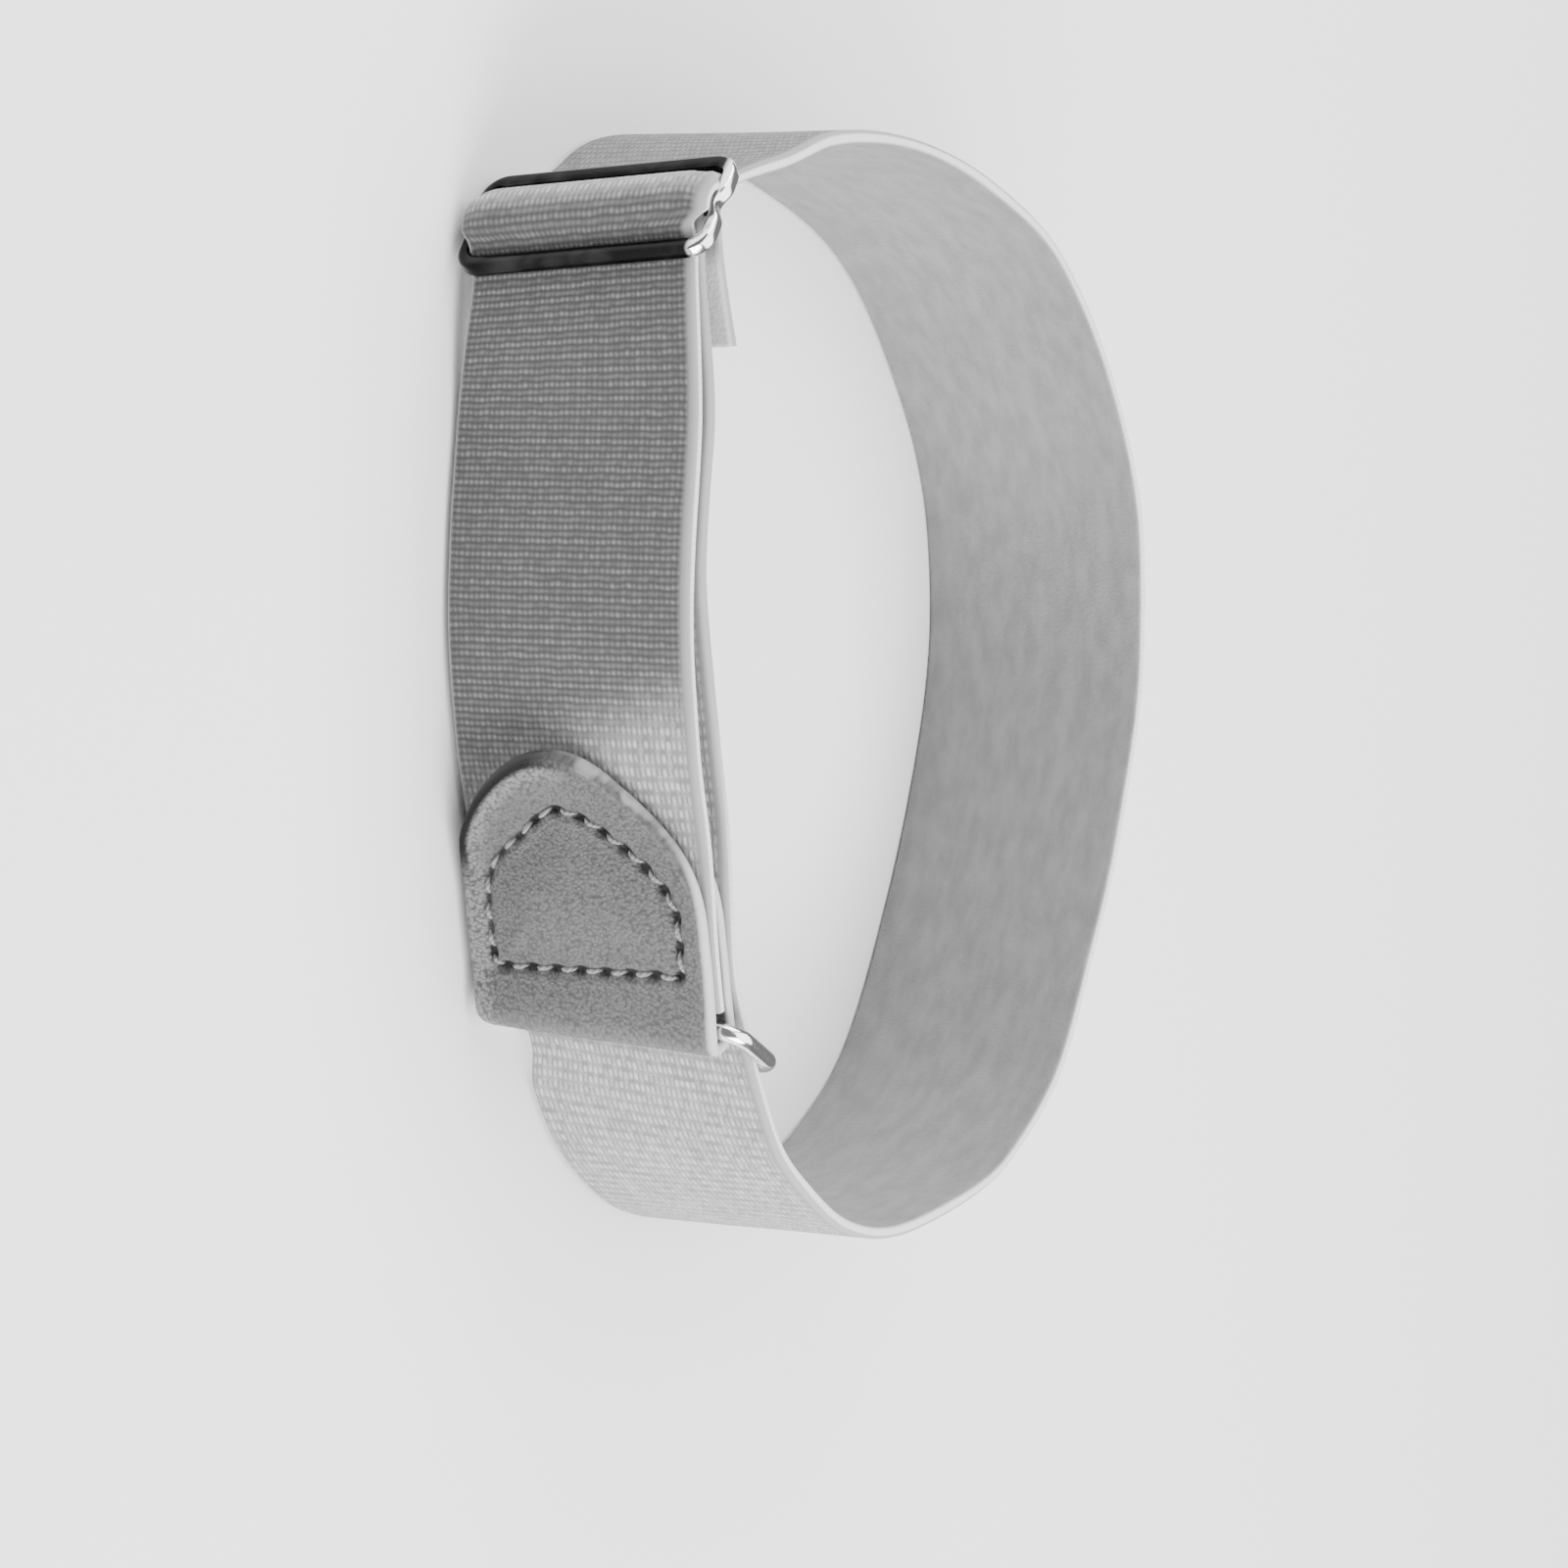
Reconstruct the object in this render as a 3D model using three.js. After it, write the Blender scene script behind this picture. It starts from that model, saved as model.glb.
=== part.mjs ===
// Shirt stay: an adjustable elastic sleeve band, standing on its lower rim as a round loop.
// Millimetres, +Z up. X runs from the slider (-X) to the leather tab (+X), -Y is the front with both.
// One long elastic strip is sewn into a folded leather tab that holds a wire ring. From the tab it
// runs outside up to the slider, weaves under, over and under its three bars, goes all the way round,
// passes through the ring, comes back inside the first run, wraps over the slider's middle bar and
// ends in a short free tail. The origin is the middle of the footprint, on the floor.

import * as THREE from 'three';

// Loop, measured over the outside of the strip
const LOOP_LENGTH = 104.8;
const LOOP_DEPTH = 100;

// Elastic strip
const BAND_WIDTH = 25;
const BAND_THICKNESS = 1.3;
const BAND_RIM_ROUNDING = 0.4;
const TAIL_LENGTH = 8.2;
const TAIL_SPLAY = 0.6;
const INNER_RUN_START = 3.6;
const INNER_RUN_RISE = 0.4;
const INNER_RUN_SLACK = 0.12;

// Slider: a flat frame with three bars across the strip
const SLIDER_LENGTH = 25.3;
const SLIDER_BAR = 1.5;
const SLIDER_SIDE = 1.25;
const SLIDER_THICKNESS = 1.5;
const SLIDER_CORNER = 2.4;
const SLIDER_WAIST_DEPTH = 0.7;
const SLIDER_WAIST_REACH = 2.3;
const SLIDER_WAIST_SHARPNESS = 0.4;
const SLIDER_EDGE_ROUNDING = 0.45;
const SLIDER_SLOT_SPARE = 0.45;
const SLIDER_SLOT_CORNER = 1.05;
const SLIDER_ANGLE = 140;
const SLIDER_SKEW = 6;

// Ring: a rounded rectangle of wire
const RING_LENGTH = 27.2;
const RING_PITCH = 8.6;
const RING_WIRE = 1.6;
const RING_CORNER = 2;
const RING_RISE = 0.72;
const RING_ANGLE = 68;
const RING_SKEW = 4;

// Leather tab, folded round the ring's outer bar
const LEATHER_THICKNESS = 1.1;
const LEATHER_EDGE_ROUNDING = 0.25;
const TAB_WIDTH = 24.6;
const TAB_LENGTH = 26.2;
const TAB_LOW_ARCH = 9;
const TAB_HIGH_ARCH = 15.5;
const TAB_APEX_SHIFT = 1;
const TAB_TIP_WIDTH = 2;

// Space between two pieces, and between two layers of the strip
const CLEARANCE = 0.3;
const LAYER_GAP = 0.15;

// Fineness of the facets
const PATH_STEP = 3;
const ARC_STEP = 24;
const WIRE_SIDES = 10;
const CORNER_STEPS = 5;
const ARCH_STEPS = 10;
const FOLD_STEPS = 8;
const FLAP_STEPS = 4;
const INNER_RUN_STEPS = 8;
const BEVEL_STEPS = 2;

// Plan distances over which the soft pieces come back from the hardware's hold to their free form,
// and the inner run from behind the tab to the outer run
const LEAN_REACH = 6.4;
const LEAN_FADE = 14;
const SLOT_REACH = 2.3;
const SLOT_FADE = 8;
const TAB_FADE = 16;

// A rounding takes at most this share of half the wall
const FULL_ROUNDING = 0.9;

// Places in plan, as shares of half the loop's length and half its depth
const SLIDER_PLACE = { x: -0.788, y: -0.942 };
const RING_BAR_PLACE = { x: 0.594, y: -0.79 };

// Forms of the tab's two arches: a round one below, a long slanting one above
const LOW_ARCH_FORM = { power: 1.8, root: 0.5 };
const HIGH_ARCH_FORM = { power: 2.4, root: 1 };

// Outer run from the leather tab to the slider
const OUTER_RUN = [
  { x: 0.443, y: -0.837 },
  { x: 0.282, y: -0.877 },
  { x: 0.126, y: -0.934 },
  { x: -0.039, y: -0.975 },
  { x: -0.232, y: -0.985 },
  { x: -0.425, y: -0.979 },
  { x: -0.58, y: -0.981 },
];

// Single layer from the slider round the back to the ring
const ROUND_THE_ARM = [
  { x: -0.893, y: -0.712 },
  { x: -0.966, y: -0.524 },
  { x: -1.0, y: -0.194 },
  { x: -0.968, y: 0.14 },
  { x: -0.891, y: 0.44 },
  { x: -0.794, y: 0.612 },
  { x: -0.655, y: 0.764 },
  { x: -0.51, y: 0.888 },
  { x: -0.357, y: 0.964 },
  { x: -0.12, y: 1.0 },
  { x: 0.115, y: 0.962 },
  { x: 0.427, y: 0.846 },
  { x: 0.733, y: 0.668 },
  { x: 0.878, y: 0.468 },
  { x: 0.943, y: 0.298 },
  { x: 1.0, y: -0.06 },
  { x: 0.981, y: -0.242 },
  { x: 0.935, y: -0.37 },
  { x: 0.834, y: -0.53 },
];

const radians = (degrees) => THREE.MathUtils.degToRad(degrees);

// Sizes that follow from the ones above
const HALF_TURN = Math.PI;
const QUARTER_TURN = HALF_TURN / 2;
const halfBand = BAND_THICKNESS / 2;
const layerPitch = BAND_THICKNESS + LAYER_GAP;
const halfLength = LOOP_LENGTH / 2 - halfBand;
const halfDepth = LOOP_DEPTH / 2 - halfBand;
const middle = BAND_WIDTH / 2;
const slotWidth = 2 * BAND_THICKNESS + 2 * CLEARANCE + LAYER_GAP + SLIDER_SLOT_SPARE;
const barPitch = slotWidth + SLIDER_BAR;
const slotLength = SLIDER_LENGTH - 2 * SLIDER_SIDE;
const ringOpening = RING_LENGTH - 2 * RING_WIRE;
const flapOffset = halfBand + CLEARANCE + LEATHER_THICKNESS / 2;
const foldRadius = RING_WIRE / 2 + CLEARANCE + LEATHER_THICKNESS / 2;
const ringStraight = RING_LENGTH - RING_WIRE - 2 * RING_CORNER;

const heading = (degrees) => new THREE.Vector2(Math.cos(radians(degrees)), Math.sin(radians(degrees)));
const leftOf = (direction) => new THREE.Vector2(-direction.y, direction.x);
const place = (row) => new THREE.Vector2(row.x * halfLength, row.y * halfDepth);
const moved = (point, direction, distance) => point.clone().addScaledVector(direction, distance);

// Plan positions of the bars
const sliderAlong = heading(SLIDER_ANGLE);
const sliderMiddle = place(SLIDER_PLACE);
const sliderLow = moved(sliderMiddle, sliderAlong, -barPitch);
const sliderHigh = moved(sliderMiddle, sliderAlong, barPitch);
const sliderSlots = [-1, 1].map((side) => moved(sliderMiddle, sliderAlong, (side * barPitch) / 2));
const ringAlong = heading(RING_ANGLE);
const ringOuterBar = place(RING_BAR_PLACE);
const ringInnerBar = moved(ringOuterBar, ringAlong, RING_PITCH);
const ringMiddle = moved(ringOuterBar, ringAlong, RING_PITCH / 2);

// How wide the throats of the hardware let the soft pieces be, less what its skew takes away
const sliderHold = {
  throats: sliderSlots,
  centre: middle,
  width: slotLength - 2 * CLEARANCE - barPitch * Math.tan(radians(SLIDER_SKEW)),
};
const ringHold = {
  throats: [ringMiddle],
  centre: middle + RING_RISE,
  width: ringOpening - 2 * CLEARANCE,
};
const foldHold = {
  throats: [ringOuterBar],
  centre: middle + RING_RISE,
  width: ringStraight + 2 * Math.sqrt(RING_CORNER * CLEARANCE)
    - RING_PITCH * Math.tan(radians(RING_SKEW)),
};

// Straight touching line from one wrap to the next. A wrap is a circle that the strip's middle line
// follows, with side 1 where its centre lies to the left of the way taken, -1 where to the right.
function touchingLine(from, to) {
  const across = to.centre.clone().sub(from.centre);
  const lean = (from.side * from.radius - to.side * to.radius) / across.length();
  const way = across.clone().normalize();
  const left = leftOf(way).multiplyScalar(Math.sqrt(1 - lean * lean)).addScaledVector(way, -lean);
  return {
    leaves: moved(from.centre, left, -from.side * from.radius),
    meets: moved(to.centre, left, -to.side * to.radius),
  };
}

// Points of the arc on a wrap, from where the strip meets it to where it leaves
function arcOn(wrap, meets, leaves) {
  const start = meets.clone().sub(wrap.centre).angle();
  const end = leaves.clone().sub(wrap.centre).angle();
  const turn = THREE.MathUtils.euclideanModulo(wrap.side * (end - start), 2 * HALF_TURN);
  const steps = Math.max(1, Math.ceil(turn / radians(ARC_STEP)));
  return Array.from({ length: steps + 1 }, (_, i) => {
    const angle = start + (wrap.side * turn * i) / steps;
    return moved(wrap.centre, new THREE.Vector2(Math.cos(angle), Math.sin(angle)), wrap.radius);
  });
}

// Way past a row of wraps, between a point before and a point after them
function wrapped(before, wraps, after) {
  const stops = [
    { centre: before, radius: 0, side: 1 },
    ...wraps,
    { centre: after, radius: 0, side: 1 },
  ];
  return wraps.flatMap((wrap, i) => {
    const { meets } = touchingLine(stops[i], wrap);
    const { leaves } = touchingLine(wrap, stops[i + 2]);
    return arcOn(wrap, meets, leaves);
  });
}

// Turn of a piece of hardware out of the upright: its high end moves along the plan direction
function lean(centre, along, degrees) {
  return { centre, along, slope: Math.tan(radians(degrees)) };
}

// The soft pieces follow the leaning hardware near it, less and less further away
function leant(point, leans) {
  const moving = point.clone();
  leans.forEach(({ centre, along, slope }) => {
    const distance = new THREE.Vector2(point.x, point.y).distanceTo(centre);
    const held = 1 - THREE.MathUtils.smoothstep(distance, LEAN_REACH, LEAN_REACH + LEAN_FADE);
    const lift = slope * held * (point.z - middle);
    moving.x += along.x * lift;
    moving.y += along.y * lift;
  });
  return moving;
}

const curveThrough = (points) =>
  new THREE.CatmullRomCurve3(points.map((p) => new THREE.Vector3(p.x, p.y, 0)), false, 'centripetal');

// Middle line of the outer run, from the ring's outer bar to below the slider
const outerRun = OUTER_RUN.map(place);
const runCurve = curveThrough([ringOuterBar, ...outerRun]);
const runLength = runCurve.getLength();
const runStart = runCurve.getTangentAt(0);
const leans = [
  lean(sliderMiddle, sliderAlong, SLIDER_SKEW),
  lean(ringMiddle, new THREE.Vector2(runStart.x, runStart.y), -RING_SKEW),
];

// Point beside the outer run: distance up from the ring's bar, offset to the outside of the loop
function besideRun(distance, offset) {
  const share = distance / runLength;
  const point = runCurve.getPointAt(share);
  const way = runCurve.getTangentAt(share);
  return moved(new THREE.Vector2(point.x, point.y), leftOf(way), offset);
}

// How far the inner run lies behind the outer one: past both flaps of the tab, then face to face
function innerRunOffset(distance) {
  const pastTab = THREE.MathUtils.smoothstep(distance, TAB_LENGTH, TAB_LENGTH + TAB_FADE);
  const overTab = BAND_THICKNESS + LEATHER_THICKNESS + 2 * CLEARANCE;
  return THREE.MathUtils.lerp(overTab, layerPitch, pastTab) + INNER_RUN_SLACK;
}

// Radii of the strip's middle line round the hardware
const onBar = SLIDER_BAR / 2 + CLEARANCE + halfBand;
const onWire = RING_WIRE / 2 + CLEARANCE + halfBand;

// The whole middle line in plan, in the order in which the strip runs
const stripStart = foldRadius + CLEARANCE;
const afterSlider = ROUND_THE_ARM.map(place);
const innerRun = Array.from({ length: INNER_RUN_STEPS + 1 }, (_, i) => {
  const distance = THREE.MathUtils.lerp(INNER_RUN_START, runLength, i / INNER_RUN_STEPS);
  return besideRun(distance, -innerRunOffset(distance));
});
const downRun = outerRun.at(-1).clone().sub(sliderLow).normalize();
const inward = leftOf(downRun);
const tailTip = moved(
  moved(sliderLow, downRun, TAIL_LENGTH),
  inward,
  onBar + 2 * layerPitch + TAIL_SPLAY,
);
const outerWraps = [
  { centre: sliderLow, radius: onBar, side: 1 },
  { centre: sliderMiddle, radius: onBar + layerPitch, side: -1 },
  { centre: sliderHigh, radius: onBar, side: 1 },
];
const ringWraps = [{ centre: ringInnerBar, radius: onWire, side: -1 }];
const innerWraps = [
  { centre: sliderLow, radius: onBar + layerPitch, side: 1 },
  { centre: sliderMiddle, radius: onBar, side: -1 },
];
const outerStretch = [
  besideRun(stripStart, 0),
  ...outerRun,
  ...wrapped(outerRun.at(-1), outerWraps, afterSlider[0]),
  ...afterSlider,
  ...wrapped(afterSlider.at(-1), ringWraps, innerRun[0]),
];
const innerStretch = [
  ...innerRun,
  ...wrapped(innerRun.at(-1), innerWraps, tailTip),
  tailTip,
];

// Stations along the curve through the points, a few to each span between two of them
function stationsThrough(points) {
  const curve = curveThrough(points);
  const spans = points.length - 1;
  const stations = [];
  points.slice(1).forEach((point, span) => {
    const steps = Math.max(1, Math.round(point.distanceTo(points[span]) / PATH_STEP));
    for (let i = 0; i < steps; i += 1) stations.push((span + i / steps) / spans);
  });
  stations.push(1);
  return stations.map((t) => {
    const at = curve.getPoint(t);
    const way = curve.getTangent(t);
    return {
      span: t * spans,
      point: new THREE.Vector2(at.x, at.y),
      out: leftOf(way),
    };
  });
}

// Low and high edge of a soft piece, drawn in where a throat of the hardware holds it narrower
function drawnIn(point, width, holds) {
  const edges = { low: middle - width / 2, high: middle + width / 2 };
  const free = { ...edges };
  holds.forEach((hold) => {
    const distance = Math.min(...hold.throats.map((throat) => point.distanceTo(throat)));
    const freedom = THREE.MathUtils.smoothstep(distance, SLOT_REACH, SLOT_REACH + SLOT_FADE);
    const low = THREE.MathUtils.lerp(hold.centre - hold.width / 2, free.low, freedom);
    const high = THREE.MathUtils.lerp(hold.centre + hold.width / 2, free.high, freedom);
    edges.low = Math.max(edges.low, low);
    edges.high = Math.min(edges.high, high);
  });
  return edges;
}

// Rounded-off cross-section, thickness along the plan direction out, from low to high in Z
function section(point, out, thickness, low, high, rounding) {
  const t = thickness / 2;
  const r = Math.min(rounding, t * FULL_ROUNDING, (high - low) / 4);
  const corners = [
    [t, low + r],
    [t, high - r],
    [t - r, high],
    [r - t, high],
    [-t, high - r],
    [-t, low + r],
    [r - t, low],
    [t - r, low],
  ];
  return corners.map(([offset, z]) => {
    const p = moved(point, out, offset);
    return leant(new THREE.Vector3(p.x, p.y, z), leans);
  });
}

// Solid through a row of sections with equally many corners, each running counter-clockwise round
// the way taken, closed by flat ends or into a loop
function loft(sections, closed = false) {
  const sides = sections[0].length;
  const positions = sections.flat().flatMap((p) => [p.x, p.y, p.z]);
  const index = [];
  const spans = closed ? sections.length : sections.length - 1;
  for (let s = 0; s < spans; s += 1) {
    const here = s * sides;
    const next = ((s + 1) % sections.length) * sides;
    for (let k = 0; k < sides; k += 1) {
      const l = (k + 1) % sides;
      index.push(here + k, here + l, next + l, here + k, next + l, next + k);
    }
  }
  if (!closed) {
    const last = (sections.length - 1) * sides;
    for (let k = 1; k < sides - 1; k += 1) {
      index.push(0, k + 1, k, last, last + k, last + k + 1);
    }
  }
  const geometry = new THREE.BufferGeometry();
  geometry.setAttribute('position', new THREE.Float32BufferAttribute(positions, 3));
  geometry.setIndex(index);
  geometry.computeVertexNormals();
  return geometry;
}

function bandGeometry() {
  const points = [...outerStretch, ...innerStretch];
  const sections = stationsThrough(points).map(({ span, point, out }) => {
    const { low, high } = drawnIn(point, BAND_WIDTH, [sliderHold, ringHold]);
    const inside = THREE.MathUtils.smoothstep(span - outerStretch.length, 0, INNER_RUN_STEPS / 2);
    const fromSlider = point.distanceTo(sliderMiddle);
    const loose = THREE.MathUtils.smoothstep(fromSlider, LEAN_REACH, LEAN_REACH + LEAN_FADE);
    const rise = INNER_RUN_RISE * inside * loose;
    return section(point, out, BAND_THICKNESS, low + rise, high + rise, BAND_RIM_ROUNDING);
  });
  return loft(sections);
}

function sliderGeometry() {
  const x = barPitch + SLIDER_BAR / 2;
  const y = SLIDER_LENGTH / 2;
  const r = SLIDER_CORNER;
  const turn = SLIDER_WAIST_REACH * SLIDER_WAIST_SHARPNESS;
  const outline = new THREE.Shape();
  const sideWithWaist = (sign) => {
    outline.lineTo(-sign * SLIDER_WAIST_REACH, -sign * y);
    outline.quadraticCurveTo(-sign * turn, -sign * y, 0, -sign * (y - SLIDER_WAIST_DEPTH));
    outline.quadraticCurveTo(sign * turn, -sign * y, sign * SLIDER_WAIST_REACH, -sign * y);
  };
  outline.moveTo(-x + r, -y);
  sideWithWaist(1);
  outline.absarc(x - r, -y + r, r, -QUARTER_TURN, 0, false);
  outline.absarc(x - r, y - r, r, 0, QUARTER_TURN, false);
  sideWithWaist(-1);
  outline.absarc(-x + r, y - r, r, QUARTER_TURN, HALF_TURN, false);
  outline.absarc(-x + r, -y + r, r, HALF_TURN, 3 * QUARTER_TURN, false);
  [-1, 1].forEach((side) => outline.holes.push(slot(side * barPitch / 2)));
  const geometry = new THREE.ExtrudeGeometry(outline, {
    depth: SLIDER_THICKNESS - 2 * SLIDER_EDGE_ROUNDING,
    bevelEnabled: true,
    bevelThickness: SLIDER_EDGE_ROUNDING,
    bevelSize: SLIDER_EDGE_ROUNDING,
    bevelOffset: -SLIDER_EDGE_ROUNDING,
    bevelSegments: BEVEL_STEPS,
    curveSegments: CORNER_STEPS,
  });
  return geometry.translate(0, 0, SLIDER_EDGE_ROUNDING - SLIDER_THICKNESS / 2);
}

// One slot of the slider, round at its corners
function slot(centre) {
  const x = slotWidth / 2;
  const y = slotLength / 2;
  const r = Math.min(SLIDER_SLOT_CORNER, x * FULL_ROUNDING);
  const hole = new THREE.Path();
  hole.moveTo(centre + x, -y + r);
  hole.absarc(centre + x - r, y - r, r, 0, QUARTER_TURN, false);
  hole.absarc(centre - x + r, y - r, r, QUARTER_TURN, HALF_TURN, false);
  hole.absarc(centre - x + r, -y + r, r, HALF_TURN, 3 * QUARTER_TURN, false);
  hole.absarc(centre + x - r, -y + r, r, 3 * QUARTER_TURN, 2 * HALF_TURN, false);
  return hole;
}

// Round wire along a rounded rectangle in the local XY plane
function ringGeometry() {
  const x = RING_PITCH / 2;
  const y = (RING_LENGTH - RING_WIRE) / 2;
  const r = RING_CORNER;
  const sections = [];
  [[1, 1], [-1, 1], [-1, -1], [1, -1]].forEach(([sx, sy], corner) => {
    for (let i = 0; i <= CORNER_STEPS; i += 1) {
      const angle = QUARTER_TURN * (corner + i / CORNER_STEPS);
      const out = new THREE.Vector3(Math.cos(angle), Math.sin(angle), 0);
      const centre = new THREE.Vector3(sx * (x - r), sy * (y - r), 0).addScaledVector(out, r);
      sections.push(wireSection(centre, out));
    }
  });
  return loft(sections, true);
}

function wireSection(centre, out) {
  return Array.from({ length: WIRE_SIDES }, (_, k) => {
    const angle = (2 * HALF_TURN * (k + 0.5)) / WIRE_SIDES;
    const radius = RING_WIRE / 2;
    return centre.clone()
      .addScaledVector(out, radius * Math.cos(angle))
      .add(new THREE.Vector3(0, 0, -radius * Math.sin(angle)));
  });
}

// How wide one side of the tab still is at a distance up from the ring's bar, as a share: 1 along
// the straight side, then drawn in along an arch to 0 at the apex
function archShare(distance, height, { power, root }) {
  const start = TAB_LENGTH - foldRadius - height;
  const rise = THREE.MathUtils.clamp((distance - start) / height, 0, 1);
  return (1 - rise ** power) ** root;
}

// Low and high edge of a flap, drawn in at the fold and along the arches to a small blunt tip
function flapEdges(distance) {
  const { low, high } = drawnIn(besideRun(distance, 0), TAB_WIDTH, [foldHold]);
  const apex = middle - TAB_APEX_SHIFT;
  const tip = TAB_TIP_WIDTH / 2;
  const lowReach = (apex - low) * archShare(distance, TAB_LOW_ARCH, LOW_ARCH_FORM);
  const highReach = (high - apex) * archShare(distance, TAB_HIGH_ARCH, HIGH_ARCH_FORM);
  return {
    low: Math.max(low, apex - Math.hypot(tip, lowReach)),
    high: Math.min(high, apex + Math.hypot(tip, highReach)),
  };
}

// Outer flap from its apex down, round the ring's bar, and the inner flap up to its apex
function leatherGeometry() {
  const archStart = TAB_LENGTH - foldRadius - TAB_HIGH_ARCH;
  const straight = Array.from({ length: FLAP_STEPS }, (_, i) => {
    return (archStart * (i + 1)) / FLAP_STEPS;
  });
  const arch = Array.from({ length: ARCH_STEPS }, (_, i) => {
    return archStart + TAB_HIGH_ARCH * Math.sin((QUARTER_TURN * (i + 1)) / ARCH_STEPS);
  });
  const distances = [...straight, ...arch];
  const flap = (offset) => distances.map((d) => ({ distance: d, point: besideRun(d, offset) }));
  const startAngle = new THREE.Vector2(runStart.x, runStart.y).angle() + QUARTER_TURN;
  const fold = Array.from({ length: FOLD_STEPS + 1 }, (_, i) => {
    const angle = startAngle + (HALF_TURN * i) / FOLD_STEPS;
    const out = new THREE.Vector2(Math.cos(angle), Math.sin(angle));
    return { distance: 0, point: moved(ringOuterBar, out, foldRadius) };
  });
  const rows = [...flap(flapOffset).reverse(), ...fold, ...flap(-flapOffset)];
  const sections = rows.map(({ distance, point }, i) => {
    const before = rows[Math.max(0, i - 1)].point;
    const after = rows[Math.min(rows.length - 1, i + 1)].point;
    const out = leftOf(after.clone().sub(before).normalize());
    const edges = flapEdges(distance);
    return section(point, out, LEATHER_THICKNESS, edges.low, edges.high, LEATHER_EDGE_ROUNDING);
  });
  return loft(sections);
}

function piece(name, geometry, colour, roughness, metalness) {
  const material = new THREE.MeshStandardMaterial({ color: colour, roughness, metalness });
  const mesh = new THREE.Mesh(geometry, material);
  mesh.name = name;
  return mesh;
}

// Hardware stands with its long bars upright but for its lean, its plane turned across the strip
function upright(mesh, angle, rise, { centre, along, slope }) {
  const turned = new THREE.Group();
  turned.rotation.z = radians(angle);
  mesh.rotation.x = QUARTER_TURN;
  turned.add(mesh);
  const leaning = new THREE.Group();
  leaning.position.set(centre.x, centre.y, middle + rise);
  leaning.quaternion.setFromAxisAngle(new THREE.Vector3(-along.y, along.x, 0), Math.atan(slope));
  leaning.add(turned);
  return leaning;
}

const assembly = new THREE.Group();
const band = piece('elastic_band', bandGeometry(), 0x9a9a9a, 0.9, 0);
assembly.add(band);
assembly.add(piece('leather_tab', leatherGeometry(), 0x9c9c9c, 0.6, 0));
const slider = piece('slider', sliderGeometry(), 0x6a6a6a, 0.2, 1);
const ring = piece('ring', ringGeometry(), 0xc4c4c4, 0.15, 1);
const hardware = [
  upright(slider, SLIDER_ANGLE, 0, leans[0]),
  upright(ring, RING_ANGLE, RING_RISE, leans[1]),
];
assembly.add(...hardware);

// The hardware reaches a little below the strip, so the band leans back until the rear of its rim
// is on the floor too
assembly.updateMatrixWorld(true);
const upstanding = new THREE.Box3().setFromObject(band, true);
const tilts = hardware.map((holder) => {
  const reach = new THREE.Box3().setFromObject(holder, true);
  return Math.atan2(upstanding.min.z - reach.min.z, upstanding.max.y - holder.position.y);
});
assembly.rotation.x = -Math.max(...tilts);

// Footprint centred on the origin, lowest point on the floor
assembly.updateMatrixWorld(true);
const bounds = new THREE.Box3().setFromObject(assembly, true);
assembly.position.set(
  -(bounds.min.x + bounds.max.x) / 2,
  -(bounds.min.y + bounds.max.y) / 2,
  -bounds.min.z,
);

const shirtStay = new THREE.Group();
shirtStay.add(assembly);

export default shirtStay;
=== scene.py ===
"""Shirt stay: a loop of woven elastic with a three-bar slider, a wire ring and a leather tab.

All shapes are worked out in millimetres in the band's own plan, where the strip's lower rim lies at
z = 0, and are then leant with the hardware, stood on the floor and turned into metres.
"""
import math

import bmesh
import bpy
import numpy as np
from mathutils import Matrix, Vector
from mathutils.geometry import tessellate_polygon


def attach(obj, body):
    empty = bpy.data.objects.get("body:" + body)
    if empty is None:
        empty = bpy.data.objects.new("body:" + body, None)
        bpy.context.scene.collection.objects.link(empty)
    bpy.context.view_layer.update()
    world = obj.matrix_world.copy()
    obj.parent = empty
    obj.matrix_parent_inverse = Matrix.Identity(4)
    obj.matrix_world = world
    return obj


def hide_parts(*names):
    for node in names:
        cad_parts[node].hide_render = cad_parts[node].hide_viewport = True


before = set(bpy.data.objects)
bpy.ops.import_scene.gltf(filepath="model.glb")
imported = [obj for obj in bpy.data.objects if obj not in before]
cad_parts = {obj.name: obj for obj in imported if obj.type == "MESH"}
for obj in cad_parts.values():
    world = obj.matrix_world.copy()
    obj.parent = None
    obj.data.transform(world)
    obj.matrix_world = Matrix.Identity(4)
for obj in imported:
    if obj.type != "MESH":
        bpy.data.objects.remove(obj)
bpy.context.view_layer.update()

# Lengths in millimetres, most of them as the solids have them
MM = 0.001
LOOP_LENGTH = 104.8
LOOP_DEPTH = 100.0
BAND_WIDTH = 25.0
BAND_THICKNESS = 1.3
TAIL_LENGTH = 9.1
TAIL_SPLAY = 1.6
INNER_RUN_START = 3.6
INNER_RUN_RISE = 0.4
INNER_RUN_SLACK = 0.12
SLIDER_LENGTH = 25.3
SLIDER_BAR = 1.5
SLIDER_SIDE = 1.25
SLIDER_THICKNESS = 1.5
SLIDER_CORNER = 2.4
SLIDER_SLOT_SPARE = 0.45
SLIDER_SLOT_CORNER = 1.05
SLIDER_WAIST_DEPTH = 0.7
SLIDER_WAIST_REACH = 2.3
SLIDER_EDGE_ROUNDING = 0.42
SLIDER_ANGLE = 140.0
SLIDER_SKEW = 6.0
# Where the slider's painted dark reflection turns to bright silver at the near end, the end that
# faces the lamps: a range of its value along, and the slant of that line
SILVER_LIT_END = (10.9, 11.7)
SILVER_LIT_SLANT = 0.1
RING_LENGTH = 27.2
RING_PITCH = 8.6
RING_WIRE = 1.6
RING_CORNER = 2.0
RING_RISE = 0.72
RING_ANGLE = 68.0
RING_SKEW = 4.0
LEATHER_THICKNESS = 1.1
TAB_LENGTH = 26.2
CLEARANCE = 0.3
LAYER_GAP = 0.15
HELD_THICKNESS = 1.1
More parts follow.
